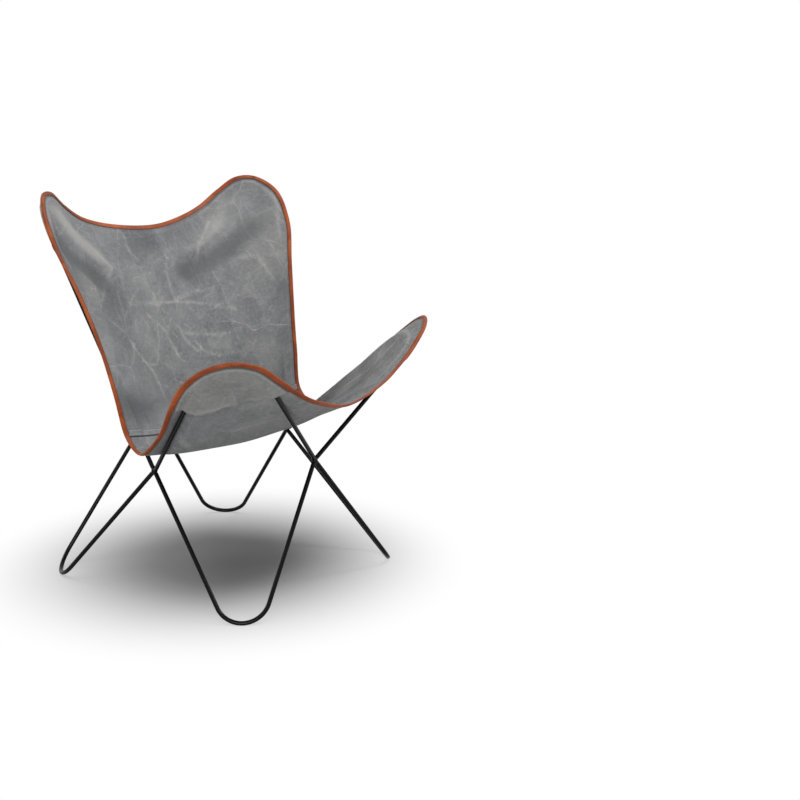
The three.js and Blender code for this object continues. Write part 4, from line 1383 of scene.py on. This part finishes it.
def sew(name, rows, thread):
    """Stitches along each of these rows of points, as one piece."""
    vertices, edges = [], []
    for row in rows:
        start = len(vertices)
        vertices += [tuple(p) for p in placed(row)]
        edges += [(k, k + 1) for k in range(start, len(vertices) - 1)]
    mesh = bpy.data.meshes.new(name + "_line")
    mesh.from_pydata(vertices, edges, [])
    line = bpy.data.objects.new(name + "_line", mesh)
    scene.collection.objects.link(line)
    sewing = line.modifiers.new("sewing", "NODES")
    sewing.node_group = stitching
    for label, value in (("Pitch", stitch_pitch), ("Length", stitch_length / 2),
                         ("Radius", thread_radius), ("Seed", stitch_seed),
                         ("Thread", thread.material)):
        sewing[stitching_inputs[label]] = value
    seen = line.evaluated_get(bpy.context.evaluated_depsgraph_get())
    sewn = bpy.data.meshes.new_from_object(seen)
    sewn.name = name
    line.modifiers.clear()
    bpy.data.objects.remove(line)
    sewn.polygons.foreach_set("use_smooth", [True] * len(sewn.polygons))
    piece = bpy.data.objects.new(name, sewn)
    scene.collection.objects.link(piece)
    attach(piece, "root")
    return piece


stitch_inset = 0.0086
stitch_sink = 0.00008
stitch_end_rows = 0.03
stitch_points_per_row = 40
fell_stitch_inset = 0.0026
hem_stitch_inset = hem_width - 0.0022
least_hem_room = 0.012
binding_face = canvas_thickness / 2 + layer_gap / 2 + leather_thickness - stitch_sink
panel_face = canvas_thickness / 2 - stitch_sink
for name, (first_row, last_row) in binding_spans.items():
    rows = np.linspace(first_row + stitch_end_rows, last_row - stitch_end_rows,
                       (last_row - first_row) * stitch_points_per_row)
    cut, inward = edge_frames(rows)
    places, normals = laid(cut + inward * stitch_inset, cut)
    sew(
        f"binding_{name}_stitches",
        [places + normals * binding_face, places - normals * (binding_face + pocket_layer(rows))],
        brown_thread)

fell_stitches = sew("fell_stitches", [
    across_seam(y, lift)[1]
    for y in (fell_stitch_inset, seam_fell_width - fell_stitch_inset)
    for lift in (fell_lift + panel_face, -panel_face)
], grey_thread)

for (name, side), (grid, normals, to_hem) in pocket_grids.items():
    row = []
    for line, line_normals, gaps in zip(grid[:, ::-1], normals[:, ::-1], to_hem[:, ::-1]):
        if gaps[-1] < hem_stitch_inset + least_hem_room:
            continue
        share, here = math.modf(np.interp(hem_stitch_inset, gaps, np.arange(len(gaps))))
        here = int(here)
        spot = line[here] + (line[here + 1] - line[here]) * share
        row.append(spot - line_normals[here] * (panel_face + hem_step))
    sew(
        f"pocket_{name}_{side}_stitches", [np.array(row)], grey_thread)

# Cloth sizes
# The sling is made of six sheets of canvas. Here the width and length of each pocket's cut
# are worked out.
for name, bow in (("back", back_bow), ("front", front_bow)):
    grid = pocket_grids[name, "left"][0]
    girth = np.linalg.norm(np.diff(grid, axis=1), axis=2).sum(axis=1).max()
    width, height = np.ptp(pocket_flat(grid, bow), axis=(0, 1))
    width, length = float(width), float(max(height, girth))

# Floor and light
# A white studio floor that runs out of sight, under soft lamps. Near the chair the floor is dark
# grey: the lamp overhead, for the floor alone, lays the chair's shadow there, and a painted
# shadow, a disc about the middle, fades out to white.
floor_half = 6.0
floor_grey = 0.13
painted_shadow_middle = (0.006, 0.059 + depth_shift)
painted_shadow_span = (0.13, 0.62)
dim_sky_strength = 0.34


def shows_white(finish):
    """1 for rays from the camera, off gloss or through glass, 0 for those that give light."""
    rays = finish.node("ShaderNodeLightPath")
    camera_ray, glossy_ray, glass_ray = (
        Tone(finish, rays.outputs[f"Is {kind} Ray"])
        for kind in ("Camera", "Glossy", "Transmission"))
    return 1 - (1 - camera_ray) * (1 - glossy_ray) * (1 - glass_ray)


def mixed_out(finish, share, own, white, output):
    """Shows a finish's own shader, or by this share the white one."""
    mix = finish.node("ShaderNodeMixShader", None, [share, own, white])
    finish.join(mix.outputs[0], finish.tree.nodes[output].inputs["Surface"])


floor_finish = Finish("studio_floor")
floor_place = floor_finish.node("ShaderNodeTexCoord").outputs["Object"]
floor_split = floor_finish.node("ShaderNodeSeparateXYZ", None, [floor_place])
floor_x, floor_y = (Tone(floor_finish, floor_split.outputs[axis]) - middle
                    for axis, middle in enumerate(painted_shadow_middle))
# Painted shadow: near the middle the floor shows its own lit dark grey, and it fades to white
# further out.
past_painted_shadow = ((floor_x * floor_x + floor_y * floor_y) ** 0.5).between(*painted_shadow_span)
floor_white = floor_finish.node("ShaderNodeEmission", None, {"Color": (1, 1, 1, 1)})
floor_finish.shade(base_color=(floor_grey,) * 3 + (1,), roughness=0.9, specular_ior_level=0.1)
mixed_out(floor_finish, past_painted_shadow * shows_white(floor_finish),
          floor_finish.shader.outputs[0], floor_white.outputs[0], "Material Output")
floor = mesh_object("studio_floor", [
    (-floor_half, -floor_half, 0), (floor_half, -floor_half, 0),
    (floor_half, floor_half, 0), (-floor_half, floor_half, 0)], [(0, 1, 2, 3)])
floor.data.materials.append(floor_finish.material)


class WorldFinish(Finish):
    """The studio round the chair, made with the same calls as a material."""

    def __init__(self, name):
        self.world = bpy.data.worlds.new(name)
        self.world.use_nodes = True
        self.tree = self.world.node_tree


studio = WorldFinish("studio")
dim_sky, white_sky = (
    studio.node("ShaderNodeBackground", None, [(1, 1, 1, 1), strength]).outputs[0]
    for strength in (dim_sky_strength, 1.0))
mixed_out(studio, shows_white(studio), dim_sky, white_sky, "World Output")
scene.world = studio.world


def soft_lamp(name, place, size, power, aim):
    data = bpy.data.lights.new(name, "AREA")
    data.shape, data.size, data.energy = "DISK", size, power
    lamp = bpy.data.objects.new(name, data)
    lamp.location = place
    lamp.rotation_euler = (Vector(aim) - Vector(place)).to_track_quat("-Z", "Y").to_euler()
    scene.collection.objects.link(lamp)
    return lamp


seat_middle = (0, 0, 0.5)
soft_lamp("key_lamp", (1.3, -1.6, 3.2), size=0.9, power=78, aim=seat_middle)
soft_lamp("front_lamp", (-2.4, -1.6, 0.9), size=1.2, power=40, aim=seat_middle)
soft_lamp("back_lamp", (-0.9, 2.8, 2.0), size=1.2, power=34, aim=seat_middle)
floor_lamp = soft_lamp(
    "floor_lamp", (-0.70, -0.45, 4.0), size=4.5, power=560, aim=(0, 0.05, 0))
floor_only = bpy.data.collections.new("floor_only")
floor_only.objects.link(floor)
floor_lamp.light_linking.receiver_collection = floor_only
